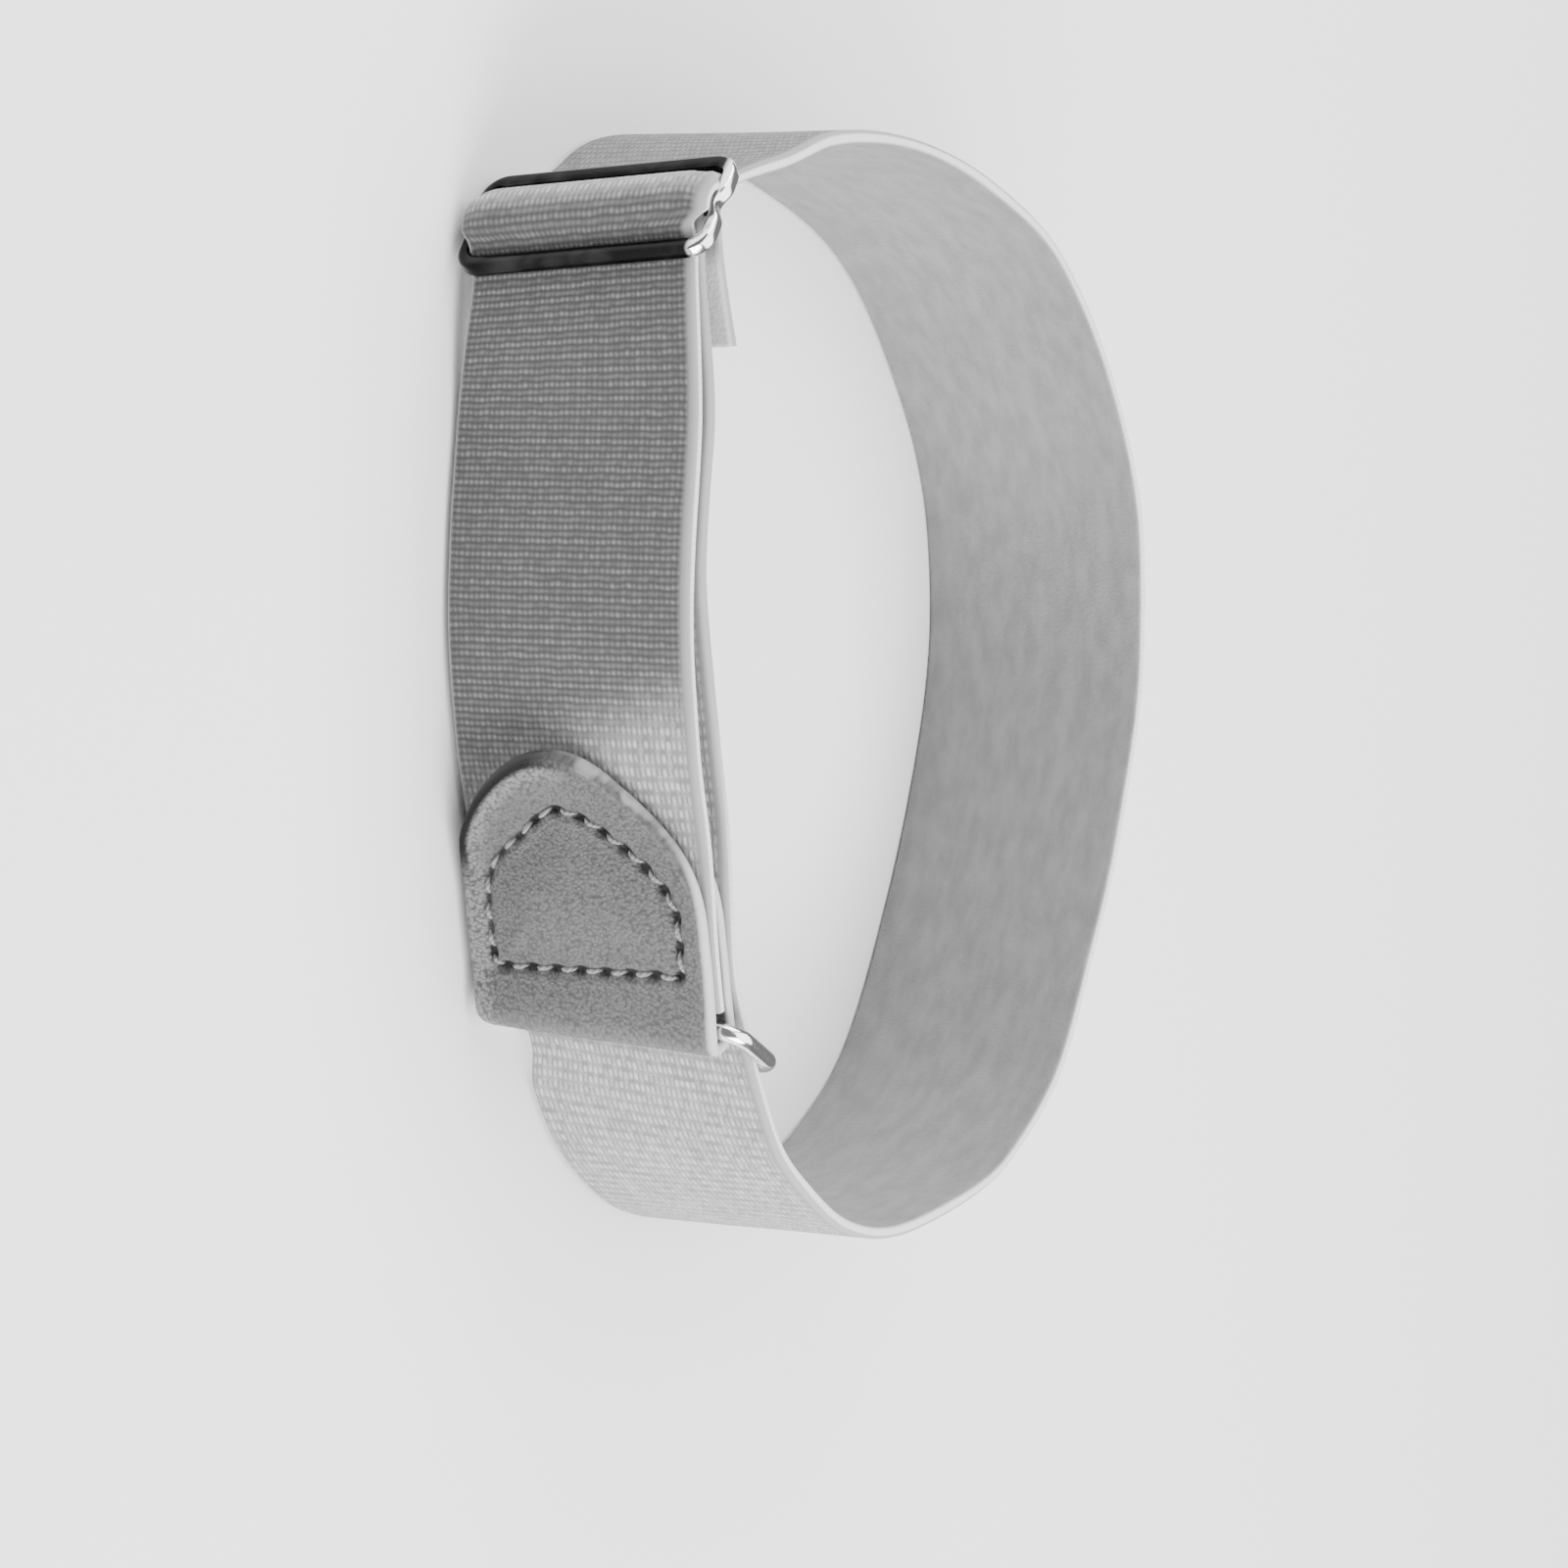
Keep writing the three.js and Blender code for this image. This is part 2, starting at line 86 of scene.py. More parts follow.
HELD_CLEARANCE = 0.15
PRESSED_REACH = 6.0
PRESSED_FADE = 6.0
HUMP_SAG = 0.5
HUMP_SPARE = 0.35
HUMP_CURL = 1.0
HUMP_CURL_REACH = 1.1
HUMP_SPILL = 1.1
HUMP_FREE = (1.0, 2.2)
LEAN_REACH = 6.4
LEAN_FADE = 14.0
SLOT_REACH = 1.7
SLIDER_FADE = 16.0
WIRE_REACH = 1.0
RING_FADE = 6.0
TAB_FADE = 16.0

# Places in plan, as shares of half the loop's length and half its depth
SLIDER_PLACE = (-0.788, -0.942)
RING_BAR_PLACE = (0.594, -0.79)
OUTER_RUN = [
    (0.443, -0.837), (0.282, -0.877), (0.126, -0.934), (-0.039, -0.975), (-0.232, -0.985),
    (-0.425, -0.979), (-0.58, -0.981),
]
ROUND_THE_ARM = [
    (-0.893, -0.712), (-0.966, -0.524), (-1.0, -0.194), (-0.968, 0.14), (-0.891, 0.44),
    (-0.794, 0.612), (-0.655, 0.764), (-0.51, 0.888), (-0.357, 0.964), (-0.12, 1.0),
    (0.115, 0.962), (0.427, 0.846), (0.733, 0.668), (0.878, 0.468), (0.943, 0.298),
    (1.0, -0.06), (0.981, -0.242), (0.935, -0.37), (0.834, -0.53),
]

# The stance of the solids: leant back by this angle, then moved on to the floor
STANCE_TILT = math.radians(-0.28395)
STANCE_SHIFT = np.array([0.0001, 0.6522, 0.2566])

# The tab's arched outline: up from the ring's bar, and height across the strip
TAB_ARCH = [
    (0.0, 0.35), (5.0, 0.2), (10.0, 0.15), (14.5, 0.15), (17.2, 0.6), (19.9, 2.0), (22.1, 3.8),
    (23.9, 6.0), (25.1, 8.4), (25.5, 10.8), (25.1, 13.0), (24.0, 15.0), (22.3, 17.2), (20.4, 19.3),
    (18.4, 21.2), (15.0, 23.5), (11.5, 24.7), (7.0, 25.0), (0.0, 24.9),
]

# The seam's line in the same measures, between its two square corners
SEAM_ARCH = [
    (4.1, 2.65), (7.8, 2.6), (11.2, 2.6), (13.7, 3.2), (15.5, 4.5), (17.2, 6.6), (18.9, 8.5),
    (19.8, 10.3), (19.5, 12.0), (18.8, 13.8), (17.1, 16.2), (15.4, 18.4), (13.6, 20.3),
    (11.5, 21.8), (9.4, 22.2), (5.4, 22.0),
]
STITCH_PITCH = 2.6
THREAD_RADIUS = 0.24
THREAD_SLANT = 0.1
THREAD_SUNK = 0.66
THREAD_BOW = 0.56
HOLE_LENGTH = 1.7
HOLE_WIDTH = 0.95
HOLE_DEPTH = 0.65
HOLE_SHALLOWER = 0.3
SEAM_DEPTH = 0.14
SEAM_WIDTH = 0.45
WELT_HEIGHT = 0.07
WELT_PLACE = 0.9
WELT_WIDTH = 0.4
PAD_HEIGHT = 1.0
PAD_REACH = 3.8
MARGIN_HEIGHT = 1.0
MARGIN_LOWER = 0.45
MARGIN_REACH = 2.4
CUT_ROUNDING = 0.5
SKIVED_EDGE = 1.5
FLAP_LIFT = 0.9
FLAP_LIFT_REACH = 4.4
INNER_FORM = 0.3
FOLD_CORNERS = (1.9, 0.5)

# Weave of the elastic's outer face
ROW_PAIR = 1.27
DOT_PITCH = 0.56
ROW_RELIEF = 0.04
SELVEDGE = 1.0
FACE_WAVE = 0.05

# Waves of the strip's edges: depth, length and start
EDGE_WAVES = ((0.07, 7.3, 0.4), (0.05, 3.1, 1.7))

# Where the rows stand open, in millimetres or as shares of the way round
OPEN_ABOVE_TAB = (14, 24)
OPEN_SOONER_HIGH = 10
OPEN_ROUND_ARM = 0.4
OPEN_BELOW_RING = (0.72, 0.86)
OPEN_ON_HUMP = (-2.4, 0.2)
CLOSED_PAST_RUN = 7

# Grey levels, in pairs where one blends into the other
ROW_GROUND = (0.047, 0.065)
YARN = (0.13, 0.21)
OPEN_YARN = (0.31, 0.5)
PLAIN_EDGE = (0.32, 0.16)
BRUSHED_BACK = (0.19, 0.25)
TAIL_BACK = 0.6
# Painted light and shade on the rims: pale on the outer run's upper rim, which faces the lamps,
# greyer on the inner run's rim and darker on the far lower rim, both painted shade
LIT_AND_SHADED_RIM = (0.7, 0.31)
RIM_TICKS = 0.3
PAINTED_SHADE_LOW_RIM = 0.24
SKIN = (0.104, 0.152)
# Painted light: the far margin paler, as where it tilts towards the lamps above
PAINTED_MARGIN_LIGHT = 0.26
PEBBLE_GAPS = 0.062
# Painted shadow: the skived far edge of the tab, dark as the shade in the gap under its lifted flap
PAINTED_GAP_SHADOW = (0.05, 0.016)
# Painted shade in the needle holes and seam channel, where the leather is pressed in
PAINTED_HOLE_SHADE = 0.035
CUT_LEATHER = (0.5, 0.3)
SEWING_THREAD = (0.16, 0.28)
METAL = 0.92
# Painted dark reflection: the slider's base colour near black, standing in for the dark
# surroundings its flat bars mirror
PAINTED_DARK_REFLECTION = 0.008

# Fineness
STATION_STEP = ROW_PAIR / 4
FACE_COLUMNS = 28
BACK_COLUMNS = 14
RIM_STEPS = 5
RIM_ROUNDING = 0.5
FLAP_ROWS = (150, 90)
FOLD_ROWS = 25
FLAP_COLUMNS = (118, 30)

# Sizes that follow
HALF_BAND = BAND_THICKNESS / 2
LAYER_PITCH = BAND_THICKNESS + LAYER_GAP
HALF_PLAN = np.array([LOOP_LENGTH, LOOP_DEPTH]) / 2 - HALF_BAND
MIDDLE = BAND_WIDTH / 2
SLOT_WIDTH = 2 * BAND_THICKNESS + 2 * CLEARANCE + LAYER_GAP + SLIDER_SLOT_SPARE
BAR_PITCH = SLOT_WIDTH + SLIDER_BAR
SLOT_LENGTH = SLIDER_LENGTH - 2 * SLIDER_SIDE
FLAP_OFFSET = HALF_BAND + CLEARANCE + LEATHER_THICKNESS / 2
FOLD_RADIUS = RING_WIRE / 2 + CLEARANCE + LEATHER_THICKNESS / 2
HELD_PITCH = HELD_THICKNESS + HELD_CLEARANCE
ON_BAR = SLIDER_BAR / 2 + HELD_CLEARANCE + HELD_THICKNESS / 2
ON_WIRE = RING_WIRE / 2 + CLEARANCE + HALF_BAND


# Plan geometry


def heading(degrees):
    """Unit vector at that angle from +X."""
    return np.array([math.cos(math.radians(degrees)), math.sin(math.radians(degrees))])


def unit(way):
    """Each way with length 1."""
    return way / np.linalg.norm(way, axis=1)[:, None]


def left_of(way):
    """The way turned left by a quarter: (x, y) becomes (-y, x)."""
    return np.stack([-way[..., 1], way[..., 0]], -1)


def smooth(x, low, high):
    """3u^2 - 2u^3 with u the share of the way from low to high, kept from 0 to 1."""
    u = np.clip((np.asarray(x, float) - low) / (high - low), 0, 1)
    return u * u * (3 - 2 * u)


def curve_through(points, t):
    """Smooth curve through the points: in each span the cubic through both ends whose end slopes
    come from the neighbours, weighted by the square roots of the chords. t counts spans."""
    points = np.asarray(points, float)
    row = np.vstack([2 * points[0] - points[1], points, 2 * points[-1] - points[-2]])
    span = np.clip(np.floor(t).astype(int), 0, len(row) - 4)
    u = (t - span)[:, None]
    p0, p1, p2, p3 = (row[span + k] for k in range(4))
    d0, d1, d2 = (
        np.sqrt(np.linalg.norm(b - a, axis=1))[:, None] for a, b in ((p0, p1), (p1, p2), (p2, p3))
    )
    slope1 = ((p1 - p0) / d0 - (p2 - p0) / (d0 + d1) + (p2 - p1) / d1) * d1
    slope2 = ((p2 - p1) / d1 - (p3 - p1) / (d1 + d2) + (p3 - p2) / d2) * d1
    square = 3 * (p2 - p1) - 2 * slope1 - slope2
    cube = 2 * (p1 - p2) + slope1 + slope2
    at = p1 + slope1 * u + square * u**2 + cube * u**3
    way = slope1 + 2 * square * u + 3 * cube * u**2
    return at, unit(way)


def even_stations(points, step):
    """Stations at equal steps along the curve: place, way, spans gone, length gone."""
    spans = len(points) - 1
    t = np.linspace(0, spans, spans * 200 + 1)
    at, _ = curve_through(points, t)
    gone = np.concatenate([[0], np.cumsum(np.linalg.norm(np.diff(at, axis=0), axis=1))])
    along = np.linspace(0, gone[-1], max(2, round(gone[-1] / step)) + 1)
    t = np.interp(along, gone, t)
    at, way = curve_through(points, t)
    return at, way, t, along


def touching_line(start, stop):
    """Ends of the straight line that touches two wraps (centre, radius, side)."""
    across = stop[0] - start[0]
    length = np.linalg.norm(across)
    lean = (start[2] * start[1] - stop[2] * stop[1]) / length
    way = across / length
    left = left_of(way) * math.sqrt(1 - lean * lean) - way * lean
    return start[0] - left * start[2] * start[1], stop[0] - left * stop[2] * stop[1]


def arc_on(wrap, meets, leaves, step=math.radians(24)):
    """Points of the circle's arc from where the strip meets it to where it leaves."""
    centre, radius, side = wrap
    start = math.atan2(*(meets - centre)[::-1])
    end = math.atan2(*(leaves - centre)[::-1])
    turn = (side * (end - start)) % (2 * math.pi)
    steps = max(1, math.ceil(turn / step))
    angle = start + side * turn * np.arange(steps + 1) / steps
    return centre + radius * np.stack([np.cos(angle), np.sin(angle)], -1)


def wrapped(before, wraps, after):
    """Way past a row of wraps, between a point before and a point after them."""
    stops = [(before, 0, 1), *wraps, (after, 0, 1)]
    arcs = []
    for i, wrap in enumerate(wraps):
        _, meets = touching_line(stops[i], wrap)
        leaves, _ = touching_line(wrap, stops[i + 2])
        arcs.append(arc_on(wrap, meets, leaves))
    return np.vstack(arcs)


slider_along = heading(SLIDER_ANGLE)
slider_middle = np.array(SLIDER_PLACE) * HALF_PLAN
slider_low = slider_middle - BAR_PITCH * slider_along
slider_high = slider_middle + BAR_PITCH * slider_along
slider_slots = [slider_middle + side * BAR_PITCH / 2 * slider_along for side in (-1, 1)]
ring_along = heading(RING_ANGLE)
ring_outer = np.array(RING_BAR_PLACE) * HALF_PLAN
ring_inner = ring_outer + RING_PITCH * ring_along
ring_middle = ring_outer + RING_PITCH / 2 * ring_along
outer_run = np.array(OUTER_RUN) * HALF_PLAN
run_at, run_way, _, run_gone = even_stations(np.vstack([ring_outer, outer_run]), 0.05)
slider_slope = math.tan(math.radians(SLIDER_SKEW))
ring_slope = math.tan(math.radians(RING_SKEW))

# The hardware that leans: middle, plan direction, slope
LEANS = [(slider_middle, slider_along, slider_slope), (ring_middle, run_way[0], -ring_slope)]

# What draws the strip in: throats, height of the middle, width held, reach, fade
HOLDS = [
    (slider_slots, MIDDLE, SLOT_LENGTH - CLEARANCE - BAR_PITCH * slider_slope, SLOT_REACH,
     SLIDER_FADE),
    ([ring_inner - ON_WIRE * ring_along], MIDDLE + RING_RISE,
     RING_LENGTH - 2 * RING_WIRE - CLEARANCE, WIRE_REACH, RING_FADE),
]


def beside_run(distance, offset):
    """Points beside the outer run: distance up from the ring's bar, offset to the outside."""
    distance = np.asarray(distance, float)
    point = np.stack([np.interp(distance, run_gone, run_at[:, k]) for k in (0, 1)], -1)
    way = np.stack([np.interp(distance, run_gone, run_way[:, k]) for k in (0, 1)], -1)
    return point + left_of(way) * np.asarray(offset, float)[..., None]


def leant(points):
    """Points near leaning hardware move along its plan direction by slope times height over the
    middle, less and less further away."""
    moving = points.copy()
    for centre, along, slope in LEANS:
        distance = np.linalg.norm(points[..., :2] - centre, axis=-1)
        held = 1 - smooth(distance, LEAN_REACH, LEAN_REACH + LEAN_FADE)
        lift = slope * held * (points[..., 2] - MIDDLE)
        moving[..., :2] += along * lift[..., None]
    return moving


def stood(points):
    """Plan points turned back by the stance's tilt about X and moved on to the floor, in metres."""
    c, s = math.cos(STANCE_TILT), math.sin(STANCE_TILT)
    turn = np.array([[1, 0, 0], [0, c, -s], [0, s, c]])
    return (points @ turn.T + STANCE_SHIFT) * MM


def drawn_in(point):
    """Low and high edge: the free width, narrowed smoothly to each throat's width near it."""
    low = np.zeros(len(point))
    high = np.full(len(point), BAND_WIDTH)
    for throats, centre, held, near, fade in HOLDS:
        distance = np.min([np.linalg.norm(point - throat, axis=1) for throat in throats], axis=0)
        freedom = smooth(distance, near, near + fade)
        low = np.maximum(low, (centre - held / 2) * (1 - freedom))
        high = np.minimum(high, (centre + held / 2) * (1 - freedom) + BAND_WIDTH * freedom)
    return low, high


# Meshes


def ring_faces(rows, columns, close_rows=False):
    """Quads between rows of closed sections, numbered row by row."""
    row = np.arange(rows if close_rows else rows - 1)[:, None]
    column = np.arange(columns)[None, :]
    next_row = (row + 1) % rows
    next_column = (column + 1) % columns
    corners = [
        row * columns + column, row * columns + next_column,
        next_row * columns + next_column, next_row * columns + column,
    ]
    return np.stack([np.broadcast_to(c, (row.size, column.size)).ravel() for c in corners], -1)


def tube_faces(rows, columns, first=0):
    """Quads round a row of closed sections, numbered from first, and a cap at either end."""
    last = first + (rows - 1) * columns
    return [
        *(ring_faces(rows, columns) + first),
        range(first + columns - 1, first - 1, -1), range(last, last + columns),
    ]


def new_object(name, data):
    """Object with that data, put into the scene."""
    made = bpy.data.objects.new(name, data)
    bpy.context.scene.collection.objects.link(made)
    return made


def new_piece(name, points, faces, uv=None, values=None, merge=False):
    """Mesh object from points in metres and lists of corners, with a UV map in millimetres and
    named values at its points."""
    mesh = bpy.data.meshes.new(name)
    mesh.from_pydata(np.asarray(points).reshape(-1, 3).tolist(), [], [list(f) for f in faces])
    for key, value in (values or {}).items():
        layer = mesh.attributes.new(key, "FLOAT", "POINT")
        layer.data.foreach_set("value", np.asarray(value, np.float32).ravel())
    if uv is not None:
        corner = np.zeros(len(mesh.loops), np.int32)
        mesh.loops.foreach_get("vertex_index", corner)
        layer = mesh.uv_layers.new(name="Measure")
        layer.data.foreach_set("uv", np.asarray(uv, np.float32).reshape(-1, 2)[corner].ravel())
    if merge:
        work = bmesh.new()
        work.from_mesh(mesh)
        bmesh.ops.remove_doubles(work, verts=work.verts, dist=1e-7)
        work.to_mesh(mesh)
        work.free()
    mesh.polygons.foreach_set("use_smooth", np.ones(len(mesh.polygons), bool))
    mesh.update()
    return new_object(name, mesh)


def dress(piece, material, slot, *replaced):
    """Gives the piece its material, lets it ride on the one body and stand for its CAD nodes."""
    piece.data.materials.append(material)
    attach(piece, "root")
    if replaced:
        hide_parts(*replaced)
    return piece


# Elastic strip


def strip_route():
    """Points of the strip's middle line in plan, and how many of them come before the inner run."""
    start = beside_run([FOLD_RADIUS + CLEARANCE], 0.0)
    after_slider = np.array(ROUND_THE_ARM) * HALF_PLAN
    distance = np.linspace(INNER_RUN_START, run_gone[-1], 9)
    over_tab = BAND_THICKNESS + LEATHER_THICKNESS + 2 * CLEARANCE
    past_tab = smooth(distance, TAB_LENGTH, TAB_LENGTH + TAB_FADE)
    inner_run = beside_run(
        distance, -(over_tab + (LAYER_PITCH - over_tab) * past_tab + INNER_RUN_SLACK)
    )
    down = outer_run[-1] - slider_low
    down /= np.linalg.norm(down)
    tip = slider_low + down * TAIL_LENGTH + left_of(down) * (ON_BAR + 2 * HELD_PITCH + TAIL_SPLAY)
    hump = (slider_middle - HUMP_SAG * slider_along, ON_BAR + HELD_PITCH + HUMP_SPARE, -1)
    outer_wraps = [(slider_low, ON_BAR, 1), hump, (slider_high, ON_BAR, 1)]
    inner_wraps = [(slider_low, ON_BAR + HELD_PITCH, 1), (slider_middle, ON_BAR, -1)]
    outer = np.vstack([
        start,
        outer_run,
        wrapped(outer_run[-1], outer_wraps, after_slider[0]),
        after_slider,
        wrapped(after_slider[-1], [(ring_inner, ON_WIRE, -1)], inner_run[0]),
    ])
    inner = np.vstack([inner_run, wrapped(inner_run[-1], inner_wraps, tip), tip])
    return np.vstack([outer, inner]), len(outer)


def strip_profile():
    """Round the strip's section: face, upper rim, back, lower rim. Each point has its offset
    across the thickness, its share of the width between the roundings, how far it lies beyond
    that, and its side: 1 on the face, -1 on the back."""
    inner = HALF_BAND - RIM_ROUNDING
    turn = np.linspace(0, math.pi / 2, RIM_STEPS + 1)[1:-1]

    def rounding(angles, face, rim):
        """Quarter circle between the face (1) or back (-1) and the high (1) or low (0) rim."""
        up = RIM_ROUNDING if rim else -RIM_ROUNDING
        return [
            (face * (inner + RIM_ROUNDING * math.cos(a)), rim, up * math.sin(a), face * math.cos(a))
            for a in angles
        ]

    rows = [(HALF_BAND, share, 0.0, 1.0) for share in np.linspace(0, 1, FACE_COLUMNS)]
    rows += rounding(turn, 1, 1) + rounding(math.pi / 2 - turn, -1, 1)
    rows += [(-HALF_BAND, share, 0.0, -1.0) for share in np.linspace(1, 0, BACK_COLUMNS)]
    rows += rounding(turn, -1, 0) + rounding(math.pi / 2 - turn, 1, 0)
    return np.array(rows)


def strip_open_rows(at, gone, across, outer_share, on_hump):
    """Where the rows stand open and the weave looks knitted: round the bend below the ring, above
    the tab most of all near the upper edge, and over the top of the slider's middle bar. Each is a
    smooth step of the length gone or of the place over the bar."""
    above_tab = 1 - smooth(gone[:, None] - OPEN_SOONER_HIGH * across / BAND_WIDTH, *OPEN_ABOVE_TAB)
    round_arm = OPEN_ROUND_ARM + (1 - OPEN_ROUND_ARM) * smooth(outer_share, *OPEN_BELOW_RING)
    on_front = gone < run_gone[-1] + CLOSED_PAST_RUN
    past = (at - slider_middle) @ slider_along
    row = np.where(on_hump, smooth(past, *OPEN_ON_HUMP), round_arm)
    return np.where(on_front[:, None], above_tab, row[:, None])


def make_strip():
    """The whole strip: its section carried along the route at equal steps. The face is ribbed by a
    cosine of the length gone, a rib to each pair of rows, and the edges wander by two sines of it.
    Where it stands free over the slider's middle bar it is wider, and its edges curl down."""
    route, outer_count = strip_route()
    at, way, spans, gone = even_stations(route, STATION_STEP)
    out = left_of(way)
    low, high = drawn_in(at)
    inside = smooth(spans - outer_count, 0, 4)
    from_slider = np.linalg.norm(at - slider_middle, axis=1)
    free = smooth(from_slider, LEAN_REACH, LEAN_REACH + LEAN_FADE)
    pressed = 1 - (1 - HELD_THICKNESS / BAND_THICKNESS) * (
        1 - smooth(from_slider, PRESSED_REACH, PRESSED_REACH + PRESSED_FADE)
    )
    rise = INNER_RUN_RISE * inside * free
    wander = sum(much * np.sin(gone / long + turn) for much, long, turn in EDGE_WAVES) * free
    above = (at - slider_middle) @ left_of(slider_along)
    on_hump = (from_slider < BAR_PITCH) & (spans < outer_count)
    crest = smooth(above, *HUMP_FREE) * on_hump
    profile = strip_profile()
    offset, share, edge, side = profile.T
    low = low + rise + np.abs(wander) * 0.6 - HUMP_SPILL * crest
    high = high + rise - wander + HUMP_SPILL * crest
    width = (high - low - 2 * RIM_ROUNDING)[:, None]
    z = low[:, None] + RIM_ROUNDING + share * width + edge
    across = share * (BAND_WIDTH - 2 * RIM_ROUNDING) + RIM_ROUNDING + edge
    ribs = np.cos(2 * math.pi * gone / ROW_PAIR)[:, None]
    from_edge = np.minimum(across, BAND_WIDTH - across)
    ribbed = smooth(from_edge, SELVEDGE * 0.6, SELVEDGE * 1.2) * (side > 0.99)
    soft = FACE_WAVE * np.sin(gone / 5.7)[:, None] * np.sin(across / 4.1 + gone[:, None] / 23)
    lift = offset * pressed[:, None] + ribbed * ROW_RELIEF * (ribs - 1)
    lift += soft * free[:, None] * np.sign(offset)
    lift -= HUMP_CURL * crest[:, None] * np.exp(-(from_edge / HUMP_CURL_REACH) ** 1.5)
    points = np.empty((len(gone), len(profile), 3))
    points[..., :2] = at[:, None] + out[:, None] * lift[..., None]
    points[..., 2] = z
    faces = tube_faces(len(gone), len(profile))
    uv = np.stack([np.broadcast_to(gone[:, None], z.shape), np.broadcast_to(across, z.shape)], -1)
    outer_share = np.clip(spans / outer_count, 0, 1)
    values = {
        "side": np.broadcast_to(side, z.shape),
        "open_rows": strip_open_rows(at, gone, across[None, :], outer_share, on_hump),
        "inner_run": np.broadcast_to(inside[:, None], z.shape),
    }
    piece = new_piece("elastic_strip", stood(leant(points)), faces, uv, values)
    return piece, gone[-1]


# Leather tab


def arch_edges(distance):
    """Low and high edge of the tab at a distance up from the ring's bar, and its outline."""
    line, _ = curve_through(TAB_ARCH, np.linspace(0, len(TAB_ARCH) - 1, 1201))
    tip = line[:, 0].argmax()
    low = np.interp(distance, line[:tip + 1, 0], line[:tip + 1, 1])
    high = np.interp(distance, line[tip:, 0][::-1], line[tip:, 1][::-1])
    return low, high, line


def seam_line():
    """The closed line of the seam: the arch, and the straight row back along the ring's side."""
    count = len(SEAM_ARCH) - 1
    line, _ = curve_through(SEAM_ARCH, np.linspace(0, count, 40 * count + 1))
    back = line[-1] + (line[0] - line[-1]) * np.linspace(0, 1, 200)[1:, None]
    line = np.vstack([line, back])
    gone = np.concatenate([[0], np.cumsum(np.linalg.norm(np.diff(line, axis=0), axis=1))])
    return line, gone


def stitch_holes():
    """Needle holes at equal steps along the seam, and the seam's way at each."""
    line, gone = seam_line()
    count = round(gone[-1] / STITCH_PITCH)
    along = (np.arange(count) + 0.5) * gone[-1] / count

    def on_line(distance):
        """Point of the seam at that length along it."""
        return np.stack([np.interp(distance % gone[-1], gone, line[:, k]) for k in (0, 1)], -1)

    way = on_line(along + 0.4) - on_line(along - 0.4)
    return on_line(along), unit(way)


def nearest(points, line):
    """Distance from each point to the nearest of the line's points."""
    flat = points.reshape(-1, 2)
    found = np.empty(len(flat))
    for first in range(0, len(flat), 4000):
        block = flat[first:first + 4000]
        found[first:first + 4000] = np.sqrt(
            ((block[:, None] - line[None]) ** 2).sum(-1).min(axis=1)
        )
    return found.reshape(points.shape[:-1])


def enclosed(points, line):
    """Whether each point lies inside the closed line: its ray crosses an odd number of sides."""
    x, y = points[..., 0, None], points[..., 1, None]
    x0, y0 = line[:, 0], line[:, 1]
    x1, y1 = np.roll(x0, -1), np.roll(y0, -1)
    rise = np.where(y1 == y0, 1e-9, y1 - y0)
    crossed = ((y0 > y) != (y1 > y)) & (x < x0 + (y - y0) * (x1 - x0) / rise)
    return crossed.sum(-1) % 2 == 1


def from_seam(up, height):
    """Distance of each place from the seam, and whether it lies within the seam."""
    line, _ = seam_line()
    where = np.stack([up, height], -1)
    return nearest(where, line[::4]), enclosed(where, line[::12])


def seam_form(up, height):
    """Height of the leather over its flat form: pressed in along the seam, with a long pit at each
    needle hole, a welt beside it, padded inside it and raised outside it. Each part is a bell, e to
    the minus a power of the distance, or one less such a bell."""
    off, within = from_seam(up, height)
    holes, ways = stitch_holes()
    apart = np.stack([up, height], -1)[..., None, :] - holes
    along = (apart * ways).sum(-1)
    beside = (apart * left_of(ways)).sum(-1)
    pit = np.sqrt((along / (HOLE_LENGTH / 2)) ** 2 + (beside / (HOLE_WIDTH / 2)) ** 2).min(-1)
    pad = PAD_HEIGHT * (1 - np.exp(-(off / PAD_REACH) ** 2))
    margin = MARGIN_HEIGHT - MARGIN_LOWER * smooth(height, 8, 20)
    margin *= 1 - np.exp(-(off / MARGIN_REACH) ** 1.7)
    depth = HOLE_DEPTH - HOLE_SHALLOWER * smooth(up, 5, 8) * (1 - smooth(height, 5, 9))
    return (
        np.where(within, pad, margin)
        - SEAM_DEPTH * np.exp(-(off / SEAM_WIDTH) ** 2)
        - depth * np.exp(-pit ** 3)
        + WELT_HEIGHT * np.exp(-((off - WELT_PLACE) / WELT_WIDTH) ** 2)
    )


def far_edge(up, height):
    """1 along the low side of the arch and over its top, where the cut edge is skived, else 0."""
    return smooth(up, 10, 16) * (1 - smooth(height, 9, 16))


def flap_lift(up, height):
    """How far the outer flap stands off the strip beyond the seam, on the low side of its arch:
    the distance from the seam to the power 1.4."""
    off, within = from_seam(up, height)
    off = np.where(within, 0, off)
    return FLAP_LIFT * far_edge(up, height) * np.clip(off / FLAP_LIFT_REACH, 0, 1.2) ** 1.4


def spread(width, margins, count):
    """Columns over a width: close together in both margins, even between them."""
    inner = np.linspace(margins[-1], width - margins[-1], count)[1:-1]
    return np.concatenate([margins, inner, width - margins[::-1]])


